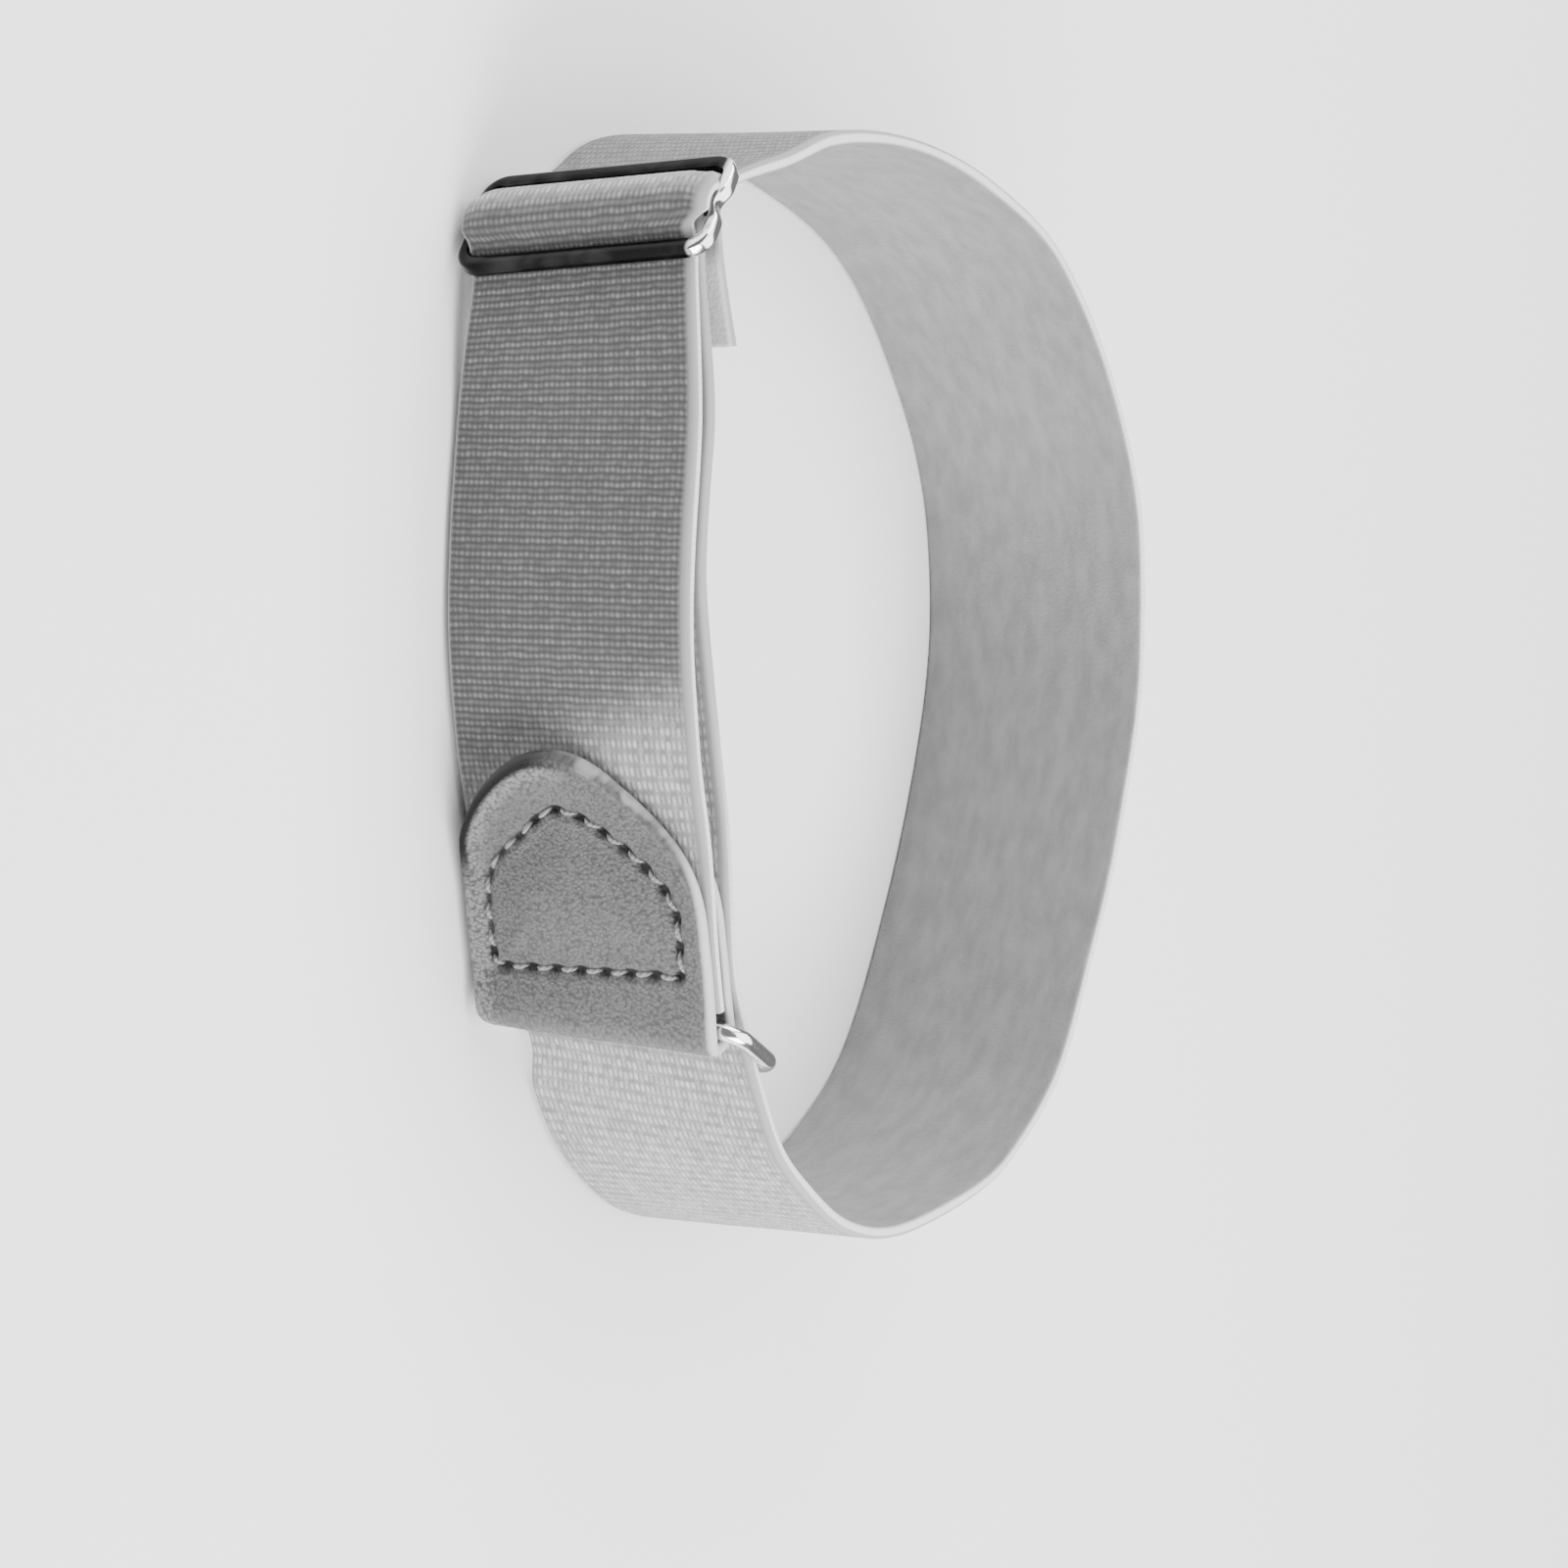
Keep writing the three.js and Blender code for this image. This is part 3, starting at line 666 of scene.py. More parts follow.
def make_tab():
    """Outer flap, fold and inner flap as one row of sections. Each section runs up the outside and
    down the inside. The wall's half thickness is a rounded step of the distance to the outline, and
    the seam's form dies away round the fold with the square of the cosine of the turn."""
    reach = max(row[0] for row in TAB_ARCH)
    outer_up, inner_up = (reach * np.sin(np.linspace(0, math.pi / 2, k)) for k in FLAP_ROWS)
    turn = np.linspace(0, math.pi, FOLD_ROWS)
    start = math.atan2(run_way[0][1], run_way[0][0]) + math.pi / 2
    margins = np.array([0, 0.03, 0.08, 0.15, 0.24, 0.36, 0.5, 0.75])
    half = LEATHER_THICKNESS / 2
    distance = np.concatenate([outer_up[:0:-1], np.zeros(len(turn)), inner_up[1:]])
    side = np.repeat([1.0, 0.0, -1.0], [len(outer_up) - 1, len(turn), len(inner_up) - 1])
    angle = np.where(side > 0, 0, math.pi)
    angle[side == 0] = turn
    low, high, line = arch_edges(distance)
    corner = np.sin(angle) ** 2
    low = low + FOLD_CORNERS[0] * corner
    high = high - FOLD_CORNERS[1] * corner
    rows = []
    for a, b in zip(low, high):
        narrow = min(1, (b - a) / 4)
        outer, inner = (spread(b - a, margins * narrow, count) for count in FLAP_COLUMNS)
        rows.append(a + np.concatenate([outer, inner[-2:0:-1]]))
    z = np.array(rows)
    outside = np.concatenate([np.ones(len(outer)), -np.ones(len(inner) - 2)])
    up = np.broadcast_to(distance[:, None], z.shape)
    away = np.minimum(z - low[:, None], high[:, None] - z)
    away = np.where(up > 0, np.minimum(away, nearest(np.stack([up, z], -1), line[::3])), away)
    # Where the far edge is skived; the leather's colour paints a shadow over this band
    skived = np.where(side[:, None] > 0, far_edge(up, z), 0)
    rounding = CUT_ROUNDING + (SKIVED_EDGE - CUT_ROUNDING) * skived
    wall = half * (1 - np.clip(1 - away / rounding, 0, 1) ** 2.4) ** (1 / 2.4)
    swell = np.cos(angle) ** 2 * np.where(angle < math.pi / 2, 1, INNER_FORM)
    form = seam_form(up, z) * np.clip(away / CUT_ROUNDING, 0, 1) * swell[:, None]
    lift = np.where(side[:, None] > 0, flap_lift(up, z), 0)
    offset = np.where(outside > 0, lift + wall + form, lift - wall)
    beside = beside_run(distance, 0.0)
    run_out = beside_run(distance, 1.0) - beside
    fold_out = np.stack([np.cos(start + angle), np.sin(start + angle)], -1)
    out = np.where(side[:, None] != 0, run_out * side[:, None], fold_out)
    off_middle = FLAP_OFFSET + (FOLD_RADIUS - FLAP_OFFSET) * (1 - smooth(distance, 0, 4))
    base = np.where(side[:, None] != 0, beside, ring_outer) + out * off_middle[:, None]
    points = np.empty((*z.shape, 3))
    points[..., :2] = base[:, None] + out[:, None] * offset[..., None]
    points[..., 2] = z
    along = side * (distance + FOLD_RADIUS * math.pi / 2)
    along = np.where(side == 0, FOLD_RADIUS * (math.pi / 2 - angle), along)
    measure = np.stack([np.broadcast_to(along[:, None], z.shape), z], -1)
    faces = [face[::-1] for face in tube_faces(*z.shape)]
    return new_piece(
        "leather_cover", stood(leant(points)), faces, measure,
        {"from_edge": away, "pressed": np.clip(-form, 0, 1), "skived": skived}, merge=True,
    )


def make_thread():
    """The seam's stitches on both flaps: each a short tube from hole to hole, laid slightly
    slanting. Its middle line bows by a sine to the power 0.8, and its ends are thinner."""
    holes, ways = stitch_holes()
    steps, sides = 9, 8
    share = np.linspace(0, 1, steps)
    arch = np.sin(math.pi * share)
    radius = THREAD_RADIUS * (0.55 + 0.45 * arch ** 0.5)
    on_leather = FLAP_OFFSET + LEATHER_THICKNESS / 2 - THREAD_SUNK
    inset = HOLE_LENGTH * 0.28
    angle = (np.arange(sides) * 2 * math.pi / sides)[:, None]
    points, faces = [], []
    for side in (1, -1):
        for i, start in enumerate(holes):
            j = (i + 1) % len(holes)
            start = start + left_of(ways[i]) * THREAD_SLANT + ways[i] * inset
            stop = holes[j] - left_of(ways[j]) * THREAD_SLANT - ways[j] * inset
            flat = start + (stop - start) * share[:, None]
            lift = flap_lift(flat[:, 0], flat[:, 1]) if side > 0 else 0
            offset = on_leather + THREAD_BOW * arch ** 0.8 + lift
            plan = beside_run(flat[:, 0], side * offset)
            centre = np.column_stack([plan, flat[:, 1]])
            way = unit(np.gradient(centre, axis=0))
            out = beside_run(flat[:, 0], 1.0) - beside_run(flat[:, 0], 0.0)
            out = np.column_stack([out, np.zeros(steps)])
            across = unit(np.cross(way, out))
            out = np.cross(across, way)
            around = np.cos(angle) * out[:, None] + np.sin(angle) * across[:, None]
            tube = centre[:, None] + radius[:, None, None] * around
            faces += tube_faces(steps, sides, len(points) * steps * sides)
            points.append(tube.reshape(-1, 3))
    return new_piece("seam_thread", stood(leant(np.vstack(points))), faces)


# Hardware


def hardware_place(points, centre, angle, rise, lean):
    """Local points, x across the bars, y along them and z through the plate, are stood upright,
    turned in plan, leant along the plan direction and moved to their place."""
    around = Matrix.Rotation(math.radians(angle), 4, "Z")
    upright = Matrix.Rotation(math.pi / 2, 4, "X")
    along, slope = lean
    tipping = Matrix.Rotation(math.atan(slope), 4, Vector((-along[1], along[0], 0)))
    turn = np.array((tipping @ around @ upright).to_3x3())
    return stood(points @ turn.T + np.array([*centre, MIDDLE + rise]))


def arc(centre, radius, start, stop, steps=10):
    """Points of a circular arc, angles in quarter turns."""
    angle = np.linspace(start, stop, steps + 1) * math.pi / 2
    return np.asarray(centre) + radius * np.stack([np.cos(angle), np.sin(angle)], -1)


def notched_side(sign):
    """The plate's end between its corners, with a shallow notch at the middle bar, 1 + cos over
    the notch's reach."""
    x = np.linspace(-SLIDER_WAIST_REACH, SLIDER_WAIST_REACH, 25)
    dip = SLIDER_WAIST_DEPTH * (0.5 + 0.5 * np.cos(math.pi * x / SLIDER_WAIST_REACH))
    return np.stack([-sign * x, sign * (SLIDER_LENGTH / 2 - dip)], -1)


def make_slider():
    """A flat plate with two slots, rounded by a quarter circle at either face of every outline."""
    x = BAR_PITCH + SLIDER_BAR / 2 - SLIDER_CORNER
    y = SLIDER_LENGTH / 2 - SLIDER_CORNER
    outline = np.vstack([
        arc((x, y), SLIDER_CORNER, 0, 1), notched_side(1), arc((-x, y), SLIDER_CORNER, 1, 2),
        arc((-x, -y), SLIDER_CORNER, 2, 3), notched_side(-1), arc((x, -y), SLIDER_CORNER, 3, 4),
    ])
    loops = [outline]
    for side in (-1, 1):
        cx = SLOT_WIDTH / 2 - SLIDER_SLOT_CORNER
        cy = SLOT_LENGTH / 2 - SLIDER_SLOT_CORNER
        corners = [(cx, cy), (-cx, cy), (-cx, -cy), (cx, -cy)]
        hole = np.vstack([arc(c, SLIDER_SLOT_CORNER, k, k + 1) for k, c in enumerate(corners)])
        loops.append((hole + (side * BAR_PITCH / 2, 0))[::-1])
    points, faces, caps = [], [], []
    half = SLIDER_THICKNESS / 2
    turn = np.linspace(0, math.pi / 2, 7)
    inset = SLIDER_EDGE_ROUNDING * (1 - np.cos(turn))
    height = half - SLIDER_EDGE_ROUNDING + SLIDER_EDGE_ROUNDING * np.sin(turn)
    inset = np.concatenate([inset[::-1], inset])
    height = np.concatenate([-height[::-1], height])
    first = 0
    for loop in loops:
        keep = np.linalg.norm(loop - np.roll(loop, 1, axis=0), axis=1) > 1e-4
        loop = loop[keep]
        inward = left_of(unit(np.roll(loop, -1, axis=0) - np.roll(loop, 1, axis=0)))
        rings = loop[None] + inward[None] * inset[:, None, None]
        levels = np.broadcast_to(height[:, None, None], (*rings.shape[:2], 1))
        points.append(np.concatenate([rings, levels], -1).reshape(-1, 3))
        faces.extend(ring_faces(len(height), len(loop)) + first)
        caps.append((rings[-1], first, len(loop)))
        first += rings.shape[0] * rings.shape[1]
    flat = [[Vector((*p, 0)) for p in ring] for ring, _, _ in caps]
    number = np.concatenate([np.arange(count) + start for _, start, count in caps])
    level = np.concatenate([np.full(count, count) for _, _, count in caps])
    local = np.vstack(points)
    for corners in tessellate_polygon(flat):
        top = [number[k] + level[k] * (len(height) - 1) for k in corners]
        bottom = [number[k] for k in corners[::-1]]
        a, b, c = local[top]
        outward = np.cross(b - a, c - a)[2] > 0
        faces.append(top if outward else top[::-1])
        faces.append(bottom if outward else bottom[::-1])
    placed = hardware_place(local, slider_middle, SLIDER_ANGLE, 0, LEANS[0][1:])
    # Slanted place along the plate, where its painted dark reflection gives way to silver at the
    # lit near end
    along = local[:, 1] - SILVER_LIT_SLANT * local[:, 0]
    return new_piece("slider_plate", placed, faces, values={"along": along})


def make_ring():
    """Round wire carried along a rounded rectangle."""
    x = RING_PITCH / 2 - RING_CORNER
    y = (RING_LENGTH - RING_WIRE) / 2 - RING_CORNER
    corners = [((x, y), 0), ((-x, y), 1), ((-x, -y), 2), ((x, -y), 3)]
    line = np.vstack([arc(c, RING_CORNER, k, k + 1, 14) for c, k in corners])
    out = -left_of(unit(np.roll(line, -1, axis=0) - np.roll(line, 1, axis=0)))
    sides = 24
    angle = np.arange(sides) * 2 * math.pi / sides
    radius = RING_WIRE / 2
    rings = np.empty((len(line), sides, 3))
    rings[..., :2] = line[:, None] + out[:, None] * (radius * np.cos(angle))[None, :, None]
    rings[..., 2] = radius * np.sin(angle)
    faces = ring_faces(len(line), sides, close_rows=True)
    placed = hardware_place(rings.reshape(-1, 3), ring_middle, RING_ANGLE, RING_RISE, LEANS[1][1:])
    return new_piece("ring_wire", placed, faces[:, ::-1])


# Materials


def plug(tree, socket, value):
    """Links the value to the socket if it is a socket too, or else sets it."""
    if isinstance(value, bpy.types.NodeSocket):
        tree.links.new(value, socket)
    else:
        socket.default_value = value


def add(tree, kind, inputs=None, **settings):
    """New node; inputs are values or sockets, by name or number."""
    node = tree.nodes.new(kind)
    for key, value in settings.items():
        setattr(node, key, value)
    for key, value in (inputs or {}).items():
        plug(tree, node.inputs[key], value)
    return node


def calc(tree, operation, a, b=0.0, c=0.0, clamp=False):
    """Result of one Math node."""
    return add(tree, "ShaderNodeMath", {0: a, 1: b, 2: c}, operation=operation,
               use_clamp=clamp).outputs[0]


def scaled(tree, value, gain, more):
    """Value times gain, and more added."""
    return calc(tree, "MULTIPLY_ADD", value, gain, more)


def blend_colour(tree, share, a, b):
    """Colour a where share is 0, colour b where it is 1."""
    return add(tree, "ShaderNodeMix", {0: share, 6: a, 7: b}, data_type="RGBA").outputs[2]


def blend_value(tree, share, a, b):
    """Value a where share is 0, value b where it is 1."""
    return add(tree, "ShaderNodeMix", {0: share, 2: a, 3: b}, data_type="FLOAT").outputs[0]


def step(tree, value, low, high):
    """Smooth step of the value from low to high."""
    return add(tree, "ShaderNodeMapRange", {"Value": value, "From Min": low, "From Max": high},
               interpolation_type="SMOOTHSTEP").outputs["Result"]


def attribute(tree, name):
    """The piece's own value of that name."""
    return add(tree, "ShaderNodeAttribute", attribute_name=name).outputs["Fac"]


def noise(tree, place, scale, detail=3.0, roughness=0.5):
    """Cloudy noise about the middle of 0 to 1."""
    return add(tree, "ShaderNodeTexNoise", {
        "Vector": place, "Scale": scale, "Detail": detail, "Roughness": roughness,
    }).outputs["Fac"]


def grey(level):
    """Colour with red, green and blue at that level."""
    return (level, level, level, 1.0)


def greys(tree, share, levels):
    """Grey of the first level where share is 0, of the second where it is 1."""
    return blend_colour(tree, share, *map(grey, levels))


def new_group(name, inputs, outputs):
    """Shader node group with named float or vector inputs and named outputs."""
    group = bpy.data.node_groups.new(name, "ShaderNodeTree")
    for label, kind, value in inputs:
        socket = group.interface.new_socket(label, in_out="INPUT", socket_type=kind)
        if value is not None:
            socket.default_value = value
    for label, kind in outputs:
        group.interface.new_socket(label, in_out="OUTPUT", socket_type=kind)
    return group, group.nodes.new("NodeGroupInput"), group.nodes.new("NodeGroupOutput")


def weave_group():
    """Two rows of yarn floats to each pair: a strong row of dots, a gap crossed by fine ticks, a
    weak row and a dark line. Open rows show long dashes side by side, dark between them."""
    group, given, result = new_group(
        "rib_weave",
        [("Measure", "NodeSocketVector", None), ("Row Pair", "NodeSocketFloat", ROW_PAIR),
         ("Dot Pitch", "NodeSocketFloat", DOT_PITCH), ("Open", "NodeSocketFloat", 0.0)],
        [("Relief", "NodeSocketFloat"), ("Tone", "NodeSocketFloat")],
    )
    measure = given.outputs["Measure"]
    split = add(group, "ShaderNodeSeparateXYZ", {0: measure})
    drift = add(group, "ShaderNodeTexNoise", {"Vector": measure, "Scale": 0.55, "Detail": 3.0})
    drift = add(group, "ShaderNodeSeparateXYZ", {0: drift.outputs["Color"]})
    x = calc(group, "DIVIDE", split.outputs[0], given.outputs["Row Pair"])
    x = scaled(group, drift.outputs[0], 0.3, x)
    y = calc(group, "DIVIDE", split.outputs[1], given.outputs["Dot Pitch"])
    y = scaled(group, drift.outputs[1], 0.4, y)

    def lobes(value, peak, power):
        """(1 + cos(2 pi (value - peak))) / 2, raised to the power."""
        turn = scaled(group, value, 2 * math.pi, -2 * math.pi * peak)
        wave = scaled(group, calc(group, "COSINE", turn), 0.5, 0.5)
        return calc(group, "POWER", wave, power)

    dots = lobes(y, 0.0, 1.9)
    bold = scaled(group, dots, 0.6, 0.4)
    strong = calc(group, "MULTIPLY", lobes(x, 0.0, 3.6), bold)
    faint = scaled(group, dots, 0.25, 0.42)
    weak = calc(group, "MULTIPLY", lobes(x, 0.49, 3.4), faint)
    ticks = calc(group, "MULTIPLY", calc(group, "MULTIPLY", lobes(x, 0.25, 4.0), dots), 0.22)
    closed = calc(group, "MAXIMUM", calc(group, "MAXIMUM", strong, weak), ticks)
    ends = lobes(x, 0.5, 2.0)
    gaps = calc(group, "MULTIPLY", lobes(y, 0.5, 1.6), scaled(group, ends, -0.6, 0.6))
    opened = calc(group, "SUBTRACT", scaled(group, ends, -0.48, 1.0), gaps)
    relief = blend_value(group, given.outputs["Open"], closed, opened)
    cell = add(group, "ShaderNodeCombineXYZ", {
        0: calc(group, "FLOOR", scaled(group, x, 2.0, 0.5)),
        1: calc(group, "FLOOR", calc(group, "ADD", y, 0.5)),
    })
    tone = add(group, "ShaderNodeTexWhiteNoise", {"Vector": cell.outputs[0]}).outputs["Value"]
    wire_up(group, result, Relief=relief, Tone=tone)
    return group


def grain_group():
    """Fine grain: small cells and finer noise on them, as height and as a tone."""
    group, given, result = new_group(
        "fine_grain",
        [("Place", "NodeSocketVector", None), ("Cells", "NodeSocketFloat", 2.0),
         ("Softness", "NodeSocketFloat", 0.5)],
        [("Height", "NodeSocketFloat"), ("Tone", "NodeSocketFloat")],
    )
    place = given.outputs["Place"]
    cells = add(group, "ShaderNodeTexVoronoi", {
        "Vector": place, "Scale": given.outputs["Cells"], "Smoothness": given.outputs["Softness"],
    }, feature="SMOOTH_F1")
    fine = noise(group, place, 6.0, 4.0, 0.6)
    height = scaled(group, fine, 0.5, calc(group, "MULTIPLY", cells.outputs[0], -0.8))
    wire_up(group, result, Height=height, Tone=noise(group, place, 0.35, 3.0, 0.55))
    return group


def new_material(name):
    """Material with its node tree and main shader."""
    material = bpy.data.materials.new(name)
    material.use_nodes = True
    tree = material.node_tree
    return material, tree, tree.nodes["Principled BSDF"]


def wire_up(tree, node, **sockets):
    """Sets or links the node's inputs, named with low lines for spaces."""
    for key, value in sockets.items():
        plug(tree, node.inputs[key.replace("_", " ")], value)


def bump(tree, height, distance, strength=1.0):
    """Normal tipped by the slope of the height, in metres."""
    inputs = {"Height": height, "Distance": distance, "Strength": strength}
    return add(tree, "ShaderNodeBump", inputs).outputs[0]


def elastic_material(weave, grain, strip_length):
    """Ribbed woven face, smooth selvedges, rims with painted light and shade: pale on the band's
    near upper rim, which faces the lamps, greyer on the inner run and dark on the far lower rim,
    and a brushed back, pale on the tail."""
    material, tree, shader = new_material("woven_elastic")
    measure = add(tree, "ShaderNodeUVMap", uv_map="Measure").outputs[0]
    split = add(tree, "ShaderNodeSeparateXYZ", {0: measure})
    side = attribute(tree, "side")
    open_rows = attribute(tree, "open_rows")
    rows = add(tree, "ShaderNodeGroup", {"Measure": measure, "Open": open_rows}, node_tree=weave)
    across = split.outputs[1]
    from_edge = calc(tree, "MINIMUM", calc(tree, "MULTIPLY", across, 2.5),
                     calc(tree, "SUBTRACT", BAND_WIDTH, across))
    woven = step(tree, from_edge, SELVEDGE * 0.7, SELVEDGE * 1.3)
    ground = greys(tree, open_rows, ROW_GROUND)
    thread = greys(tree, rows.outputs["Tone"], YARN)
    open_thread = greys(tree, rows.outputs["Tone"], OPEN_YARN)
    thread = blend_colour(tree, open_rows, thread, open_thread)
    face = blend_colour(tree, rows.outputs["Relief"], ground, thread)
    band = step(tree, from_edge, 0.2, SELVEDGE * 1.2)
    plain_edge = greys(tree, band, PLAIN_EDGE)
    face = blend_colour(tree, woven, plain_edge, face)
    streak = add(tree, "ShaderNodeMapping", {"Vector": measure, "Scale": (0.3, 0.7, 1.0)})
    mottle = noise(tree, streak.outputs[0], 0.8, 5.0, 0.55)
    back = greys(tree, step(tree, mottle, 0.25, 0.75), BRUSHED_BACK)
    tail = step(tree, split.outputs[0], strip_length - TAIL_LENGTH, strip_length - TAIL_LENGTH + 3)
    back = blend_colour(tree, tail, back, grey(TAIL_BACK))
    to_back = step(tree, side, -0.2, -0.9)
    # Painted light and shade: the rim pale where it faces the lamps, greyer on the inner run, dark
    # on the far lower rim
    rim = greys(tree, attribute(tree, "inner_run"), LIT_AND_SHADED_RIM)
    ticks = add(tree, "ShaderNodeTexWave", {"Vector": measure, "Scale": 0.5, "Distortion": 2.0},
                wave_type="BANDS", bands_direction="X")
    tick = calc(tree, "MULTIPLY", ticks.outputs["Fac"], 0.2)
    rim = blend_colour(tree, tick, rim, grey(RIM_TICKS))
    rim = blend_colour(tree, step(tree, across, MIDDLE + 1, MIDDLE), rim, grey(PAINTED_SHADE_LOW_RIM))
    colour = blend_colour(tree, step(tree, side, 0.45, 0.12), face, rim)
    colour = blend_colour(tree, to_back, colour, back)
    nap = add(tree, "ShaderNodeGroup", {"Place": measure, "Cells": 3.2, "Softness": 0.8},
              node_tree=grain)
    yarn_height = calc(tree, "MULTIPLY", rows.outputs["Relief"], woven)
    height = blend_value(tree, to_back, yarn_height, nap.outputs["Height"])
    wire_up(tree, shader, Base_Color=colour, Roughness=0.85, Specular_IOR_Level=0.25,
            Sheen_Weight=0.15, Sheen_Roughness=0.5, Normal=bump(tree, height, 0.0001, 0.7))
    return material


def leather_material(grain):
    """Fine pebbled leather, dark in its pits, with painted shadow on its skived far edge and
    painted shade in its needle holes and seam, pale along the near cut edge, its own paler cut kept
    to the side that faces the lamps, so partly painted light, and a painted highlight in the far
    margin."""
    material, tree, shader = new_material("stitched_leather")
    measure = add(tree, "ShaderNodeUVMap", uv_map="Measure").outputs[0]
    pebble = add(tree, "ShaderNodeGroup", {"Place": measure, "Cells": 3.1, "Softness": 0.6},
                 node_tree=grain)
    from_edge = attribute(tree, "from_edge")
    worn = noise(tree, measure, 0.45, 1.5, 0.5)
    split = add(tree, "ShaderNodeSeparateXYZ", {0: measure})
    near_side = step(tree, split.outputs[1], 10.0, 15.0)
    low_down = step(tree, split.outputs[0], 22.0, 12.0)
    rubbed = calc(tree, "SUBTRACT", step(tree, worn, 0.4, 0.75), low_down, clamp=True)
    reach = scaled(tree, low_down, 0.4, 0.1)
    reach = scaled(tree, rubbed, 0.6, reach)
    # The cut edge's pale colour is its own, but it is kept to the near side, which faces the lamps,
    # and left off the far side, which is in shade: partly painted light
    cut = step(tree, calc(tree, "SUBTRACT", from_edge, reach), 0.1, -0.4)
    cut = calc(tree, "MULTIPLY", cut, near_side)
    skin = greys(tree, pebble.outputs["Tone"], SKIN)
    # Painted light: the margin outside the seam on the far side made paler, as where it faces the
    # lamps
    far_side = calc(tree, "SUBTRACT", 0.7, near_side, clamp=True)
    margin_light_mask = calc(tree, "MULTIPLY", step(tree, from_edge, 3.0, 1.6), far_side)
    skin = blend_colour(tree, margin_light_mask, skin, grey(PAINTED_MARGIN_LIGHT))
    gaps = step(tree, pebble.outputs["Height"], 0.1, -0.5)
    skin = blend_colour(tree, gaps, skin, grey(PEBBLE_GAPS))
    # Painted shadow: the skived far edge is dark and matt, standing in for the shade in the gap
    # under the lifted flap
    band = calc(tree, "DIVIDE", from_edge, SKIVED_EDGE)
    skived = calc(tree, "MULTIPLY", step(tree, band, 1.0, 0.6), attribute(tree, "skived"))
    gap_shadow_grey = greys(tree, step(tree, band, 0.1, 0.5), PAINTED_GAP_SHADOW)
    skin = blend_colour(tree, skived, skin, gap_shadow_grey)
    # Painted shade: near black where the seam and needle holes press the leather in
    pressed = step(tree, attribute(tree, "pressed"), 0.2, 0.5)
    skin = blend_colour(tree, pressed, skin, grey(PAINTED_HOLE_SHADE))
    colour = blend_colour(tree, cut, skin, greys(tree, rubbed, CUT_LEATHER))
    wire_up(tree, shader, Base_Color=colour, Roughness=scaled(tree, skived, 0.4, 0.5),
            Normal=bump(tree, pebble.outputs["Height"], 0.0003, step(tree, from_edge, 0.3, 1.2)),
            Specular_IOR_Level=scaled(tree, skived, -0.35, 0.4))
    return material


def thread_material():
    """Twisted sewing thread: slanting ridges on Object coordinates."""
    material, tree, shader = new_material("sewing_thread")
    place = add(tree, "ShaderNodeTexCoord").outputs["Object"]
    twist = add(tree, "ShaderNodeTexWave", {"Vector": place, "Scale": 900.0, "Distortion": 1.5},
                wave_type="BANDS", bands_direction="DIAGONAL")
    colour = greys(tree, twist.outputs["Fac"], SEWING_THREAD)
    wire_up(tree, shader, Base_Color=colour, Roughness=0.6,
            Normal=bump(tree, twist.outputs["Fac"], 0.00005))
    return material


def metal_material(name, roughness, scratch_level, with_painted_shade=False):
    """Polished metal: a plain mirror with faint clouds and fine scratches in its roughness. It may
    have
    painted shade: a near-black base colour standing in for the dark surroundings its flat bars
    mirror, turning to bright silver, a painted highlight, where the piece's value along reaches its
    near end."""
    material, tree, shader = new_material(name)
    place = add(tree, "ShaderNodeTexCoord").outputs["Object"]
    cloud = noise(tree, place, 260.0, 3.0)
    lines = add(tree, "ShaderNodeMapping", {"Vector": place, "Scale": (2600.0, 2600.0, 180.0)})
    scratch = noise(tree, lines.outputs[0], 1.0, 2.0)
    rough = scaled(tree, step(tree, scratch, 0.55, 0.75), scratch_level, roughness)
    rough = scaled(tree, cloud, 0.05, rough)
    colour = greys(tree, cloud, (METAL * 0.88, METAL))
    if with_painted_shade:
        # Painted shade: near-black base colour for the dark surroundings that the bars mirror
        shade_painted_metal = greys(tree, step(tree, cloud, 0.45, 0.7), (PAINTED_DARK_REFLECTION, PAINTED_DARK_REFLECTION * 3))
        # Painted highlight: the near end, which faces the lamps, stays bright silver
        lit_near_end = step(tree, attribute(tree, "along"), *SILVER_LIT_END)
        colour = blend_colour(tree, lit_near_end, shade_painted_metal, colour)
    wire_up(tree, shader, Base_Color=colour, Metallic=1.0, Roughness=rough,
            Normal=bump(tree, scratch, 0.000004))
    return material


# Floor, light and camera


FLOOR_REACH = 3.0
FLOOR_LEVEL = 0.9
BACKGROUND_STRENGTH = 0.22
LIGHTS_AIM = (0.0, 0.0, 0.012)

# Name, place, width in metres and power in watts
LIGHTS = [
    ("light_above", (0.0, 0.1, 0.8), 1.2, 19.0),
    ("light_right", (0.68, -0.26, 0.4), 0.6, 15.0),
    ("light_left", (-0.75, -0.05, 0.35), 0.6, 8.0),
]

# Place in millimetres, two directions, and the lens in millimetres
CAMERA_PLACE = (5.344, -423.154, 237.478)
CAMERA_AHEAD = (0.0085, 0.88057, -0.47383)
PHOTO_UP = (-0.99894, -0.01393, -0.04381)
CAMERA_LENS = 112.83


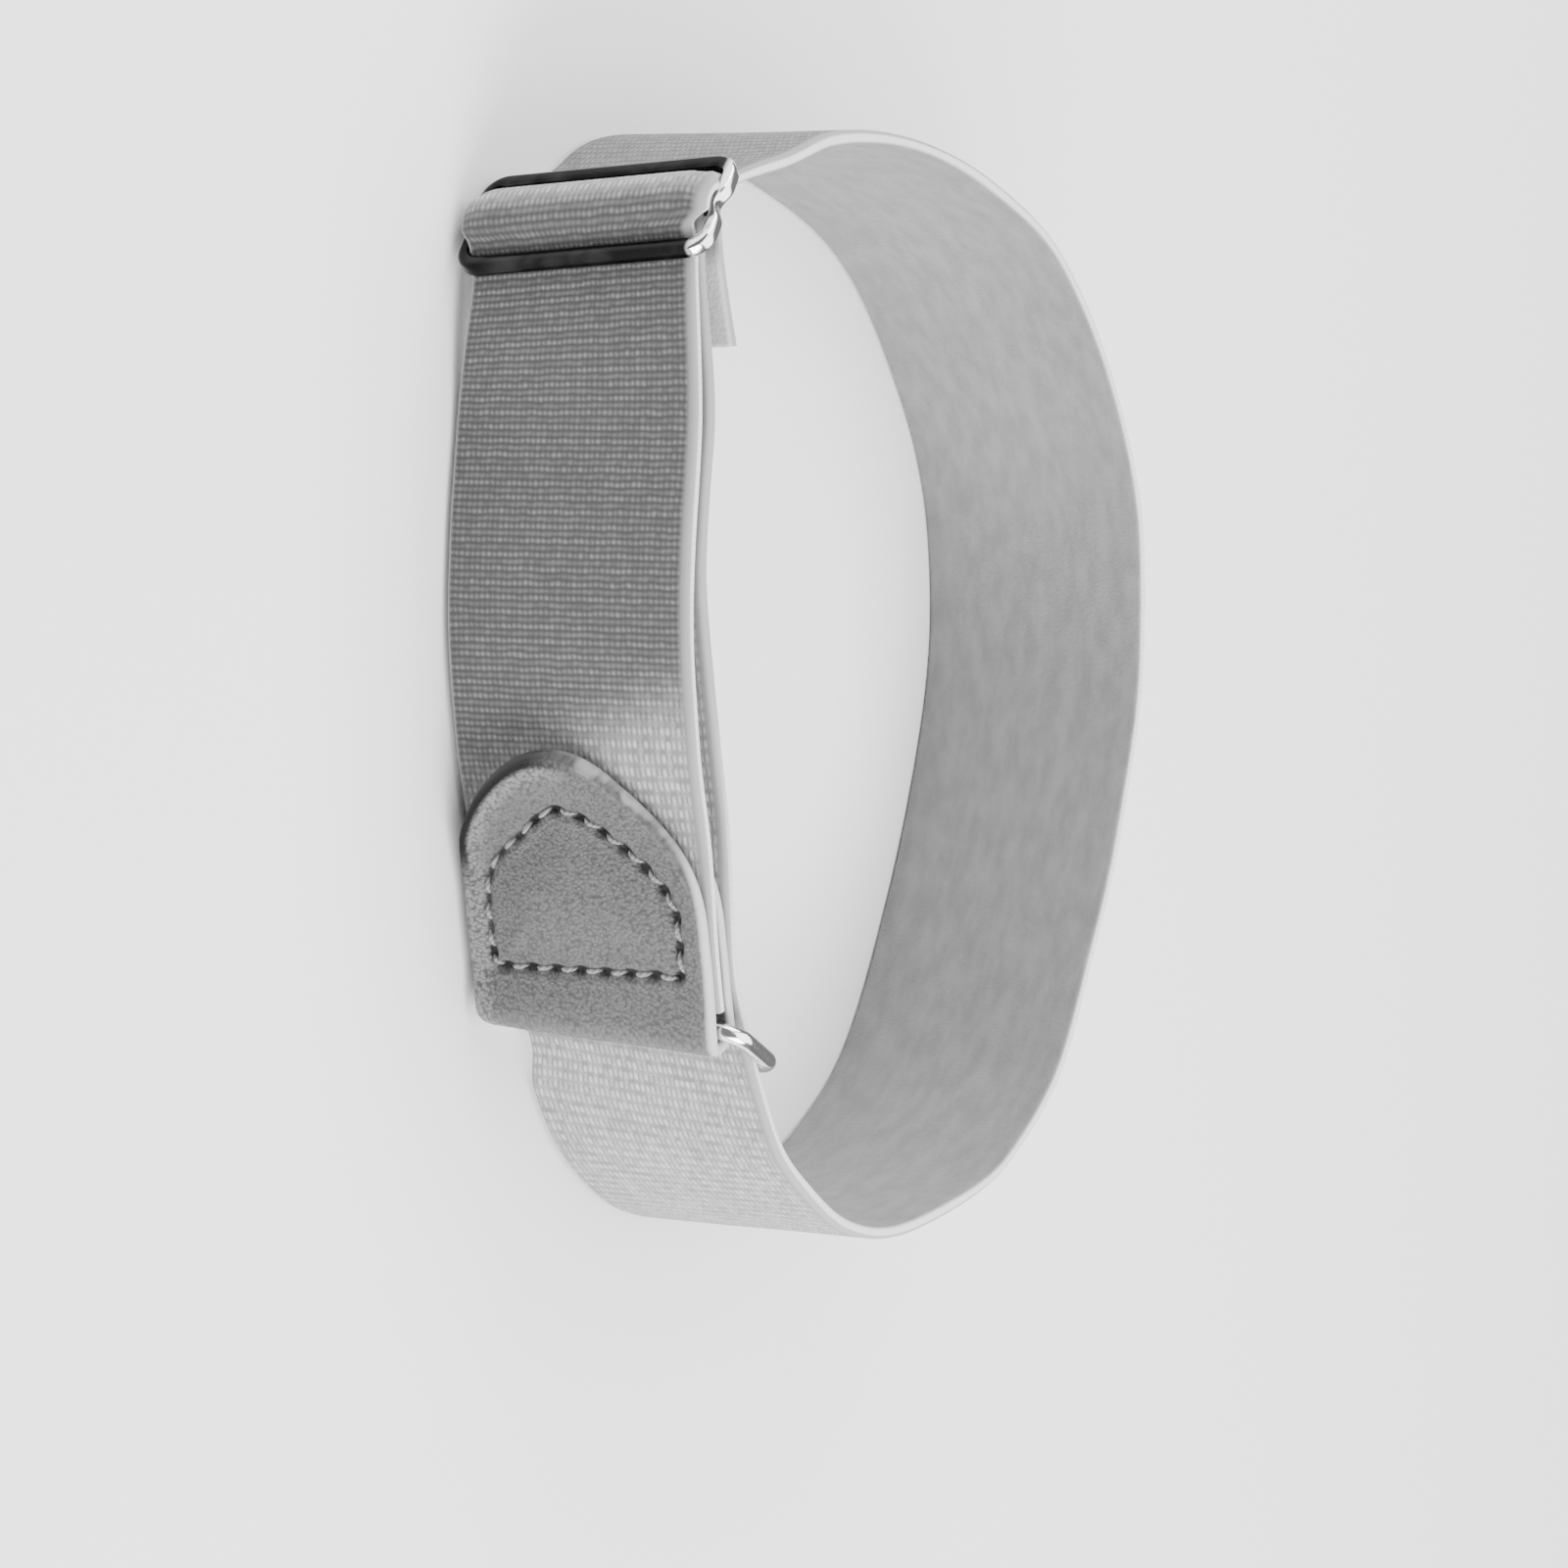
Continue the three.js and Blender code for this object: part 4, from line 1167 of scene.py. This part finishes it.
def make_floor():
    """One square on the ground, pale and rough."""
    mesh = bpy.data.meshes.new("floor")
    ways = ((-1, -1), (1, -1), (1, 1), (-1, 1))
    corners = [(x * FLOOR_REACH, y * FLOOR_REACH, 0) for x, y in ways]
    mesh.from_pydata(corners, [], [(0, 1, 2, 3)])
    material, tree, shader = new_material("pale_floor")
    wire_up(tree, shader, Base_Color=grey(FLOOR_LEVEL), Roughness=0.9)
    mesh.materials.append(material)
    new_object("floor", mesh)


def make_light():
    """Square lamps turned to the aim, and an even white background."""
    for name, place, size, power in LIGHTS:
        lamp = bpy.data.lights.new(name, "AREA")
        lamp.shape = "SQUARE"
        lamp.size = size
        lamp.energy = power
        holder = new_object(name, lamp)
        holder.location = place
        ahead = Vector(LIGHTS_AIM) - Vector(place)
        holder.rotation_euler = ahead.to_track_quat("-Z", "Y").to_euler()
    world = bpy.data.worlds.new("studio")
    world.use_nodes = True
    background = world.node_tree.nodes["Background"]
    background.inputs["Color"].default_value = grey(1.0)
    background.inputs["Strength"].default_value = BACKGROUND_STRENGTH
    bpy.context.scene.world = world


def make_camera():
    """Camera at the photo's place, its picture's upper side towards the slider's end."""
    ahead = Vector(CAMERA_AHEAD).normalized()
    up = Vector(PHOTO_UP)
    right = ahead.cross(up).normalized()
    up = right.cross(ahead)
    turn = Matrix((right, up, -ahead)).transposed().to_4x4()
    data = bpy.data.cameras.new("camera")
    data.lens = CAMERA_LENS
    data.sensor_width = 36.0
    data.sensor_fit = "HORIZONTAL"
    data.clip_start = 0.01
    data.clip_end = 20.0
    camera = new_object("camera", data)
    camera.matrix_world = Matrix.Translation(Vector(CAMERA_PLACE) * MM) @ turn
    bpy.context.scene.camera = camera


make_camera()
make_floor()
make_light()
weave = weave_group()
grain = grain_group()
strip, strip_length = make_strip()
dress(strip, elastic_material(weave, grain, strip_length), "elastic", "elastic_band")
dress(make_tab(), leather_material(grain), "leather", "leather_tab")
dress(make_thread(), thread_material(), "leather")
# The slider's material carries painted shade: dark bars, with a silver near end as painted
# highlight
shade_painted_metal = metal_material("slider_shade_painted_metal", 0.1, 0.06, with_painted_shade=True)
slider = dress(make_slider(), shade_painted_metal, "slider_metal", "slider")
ring = dress(make_ring(), metal_material("ring_plating", 0.14, 0.08), "ring_metal", "ring")
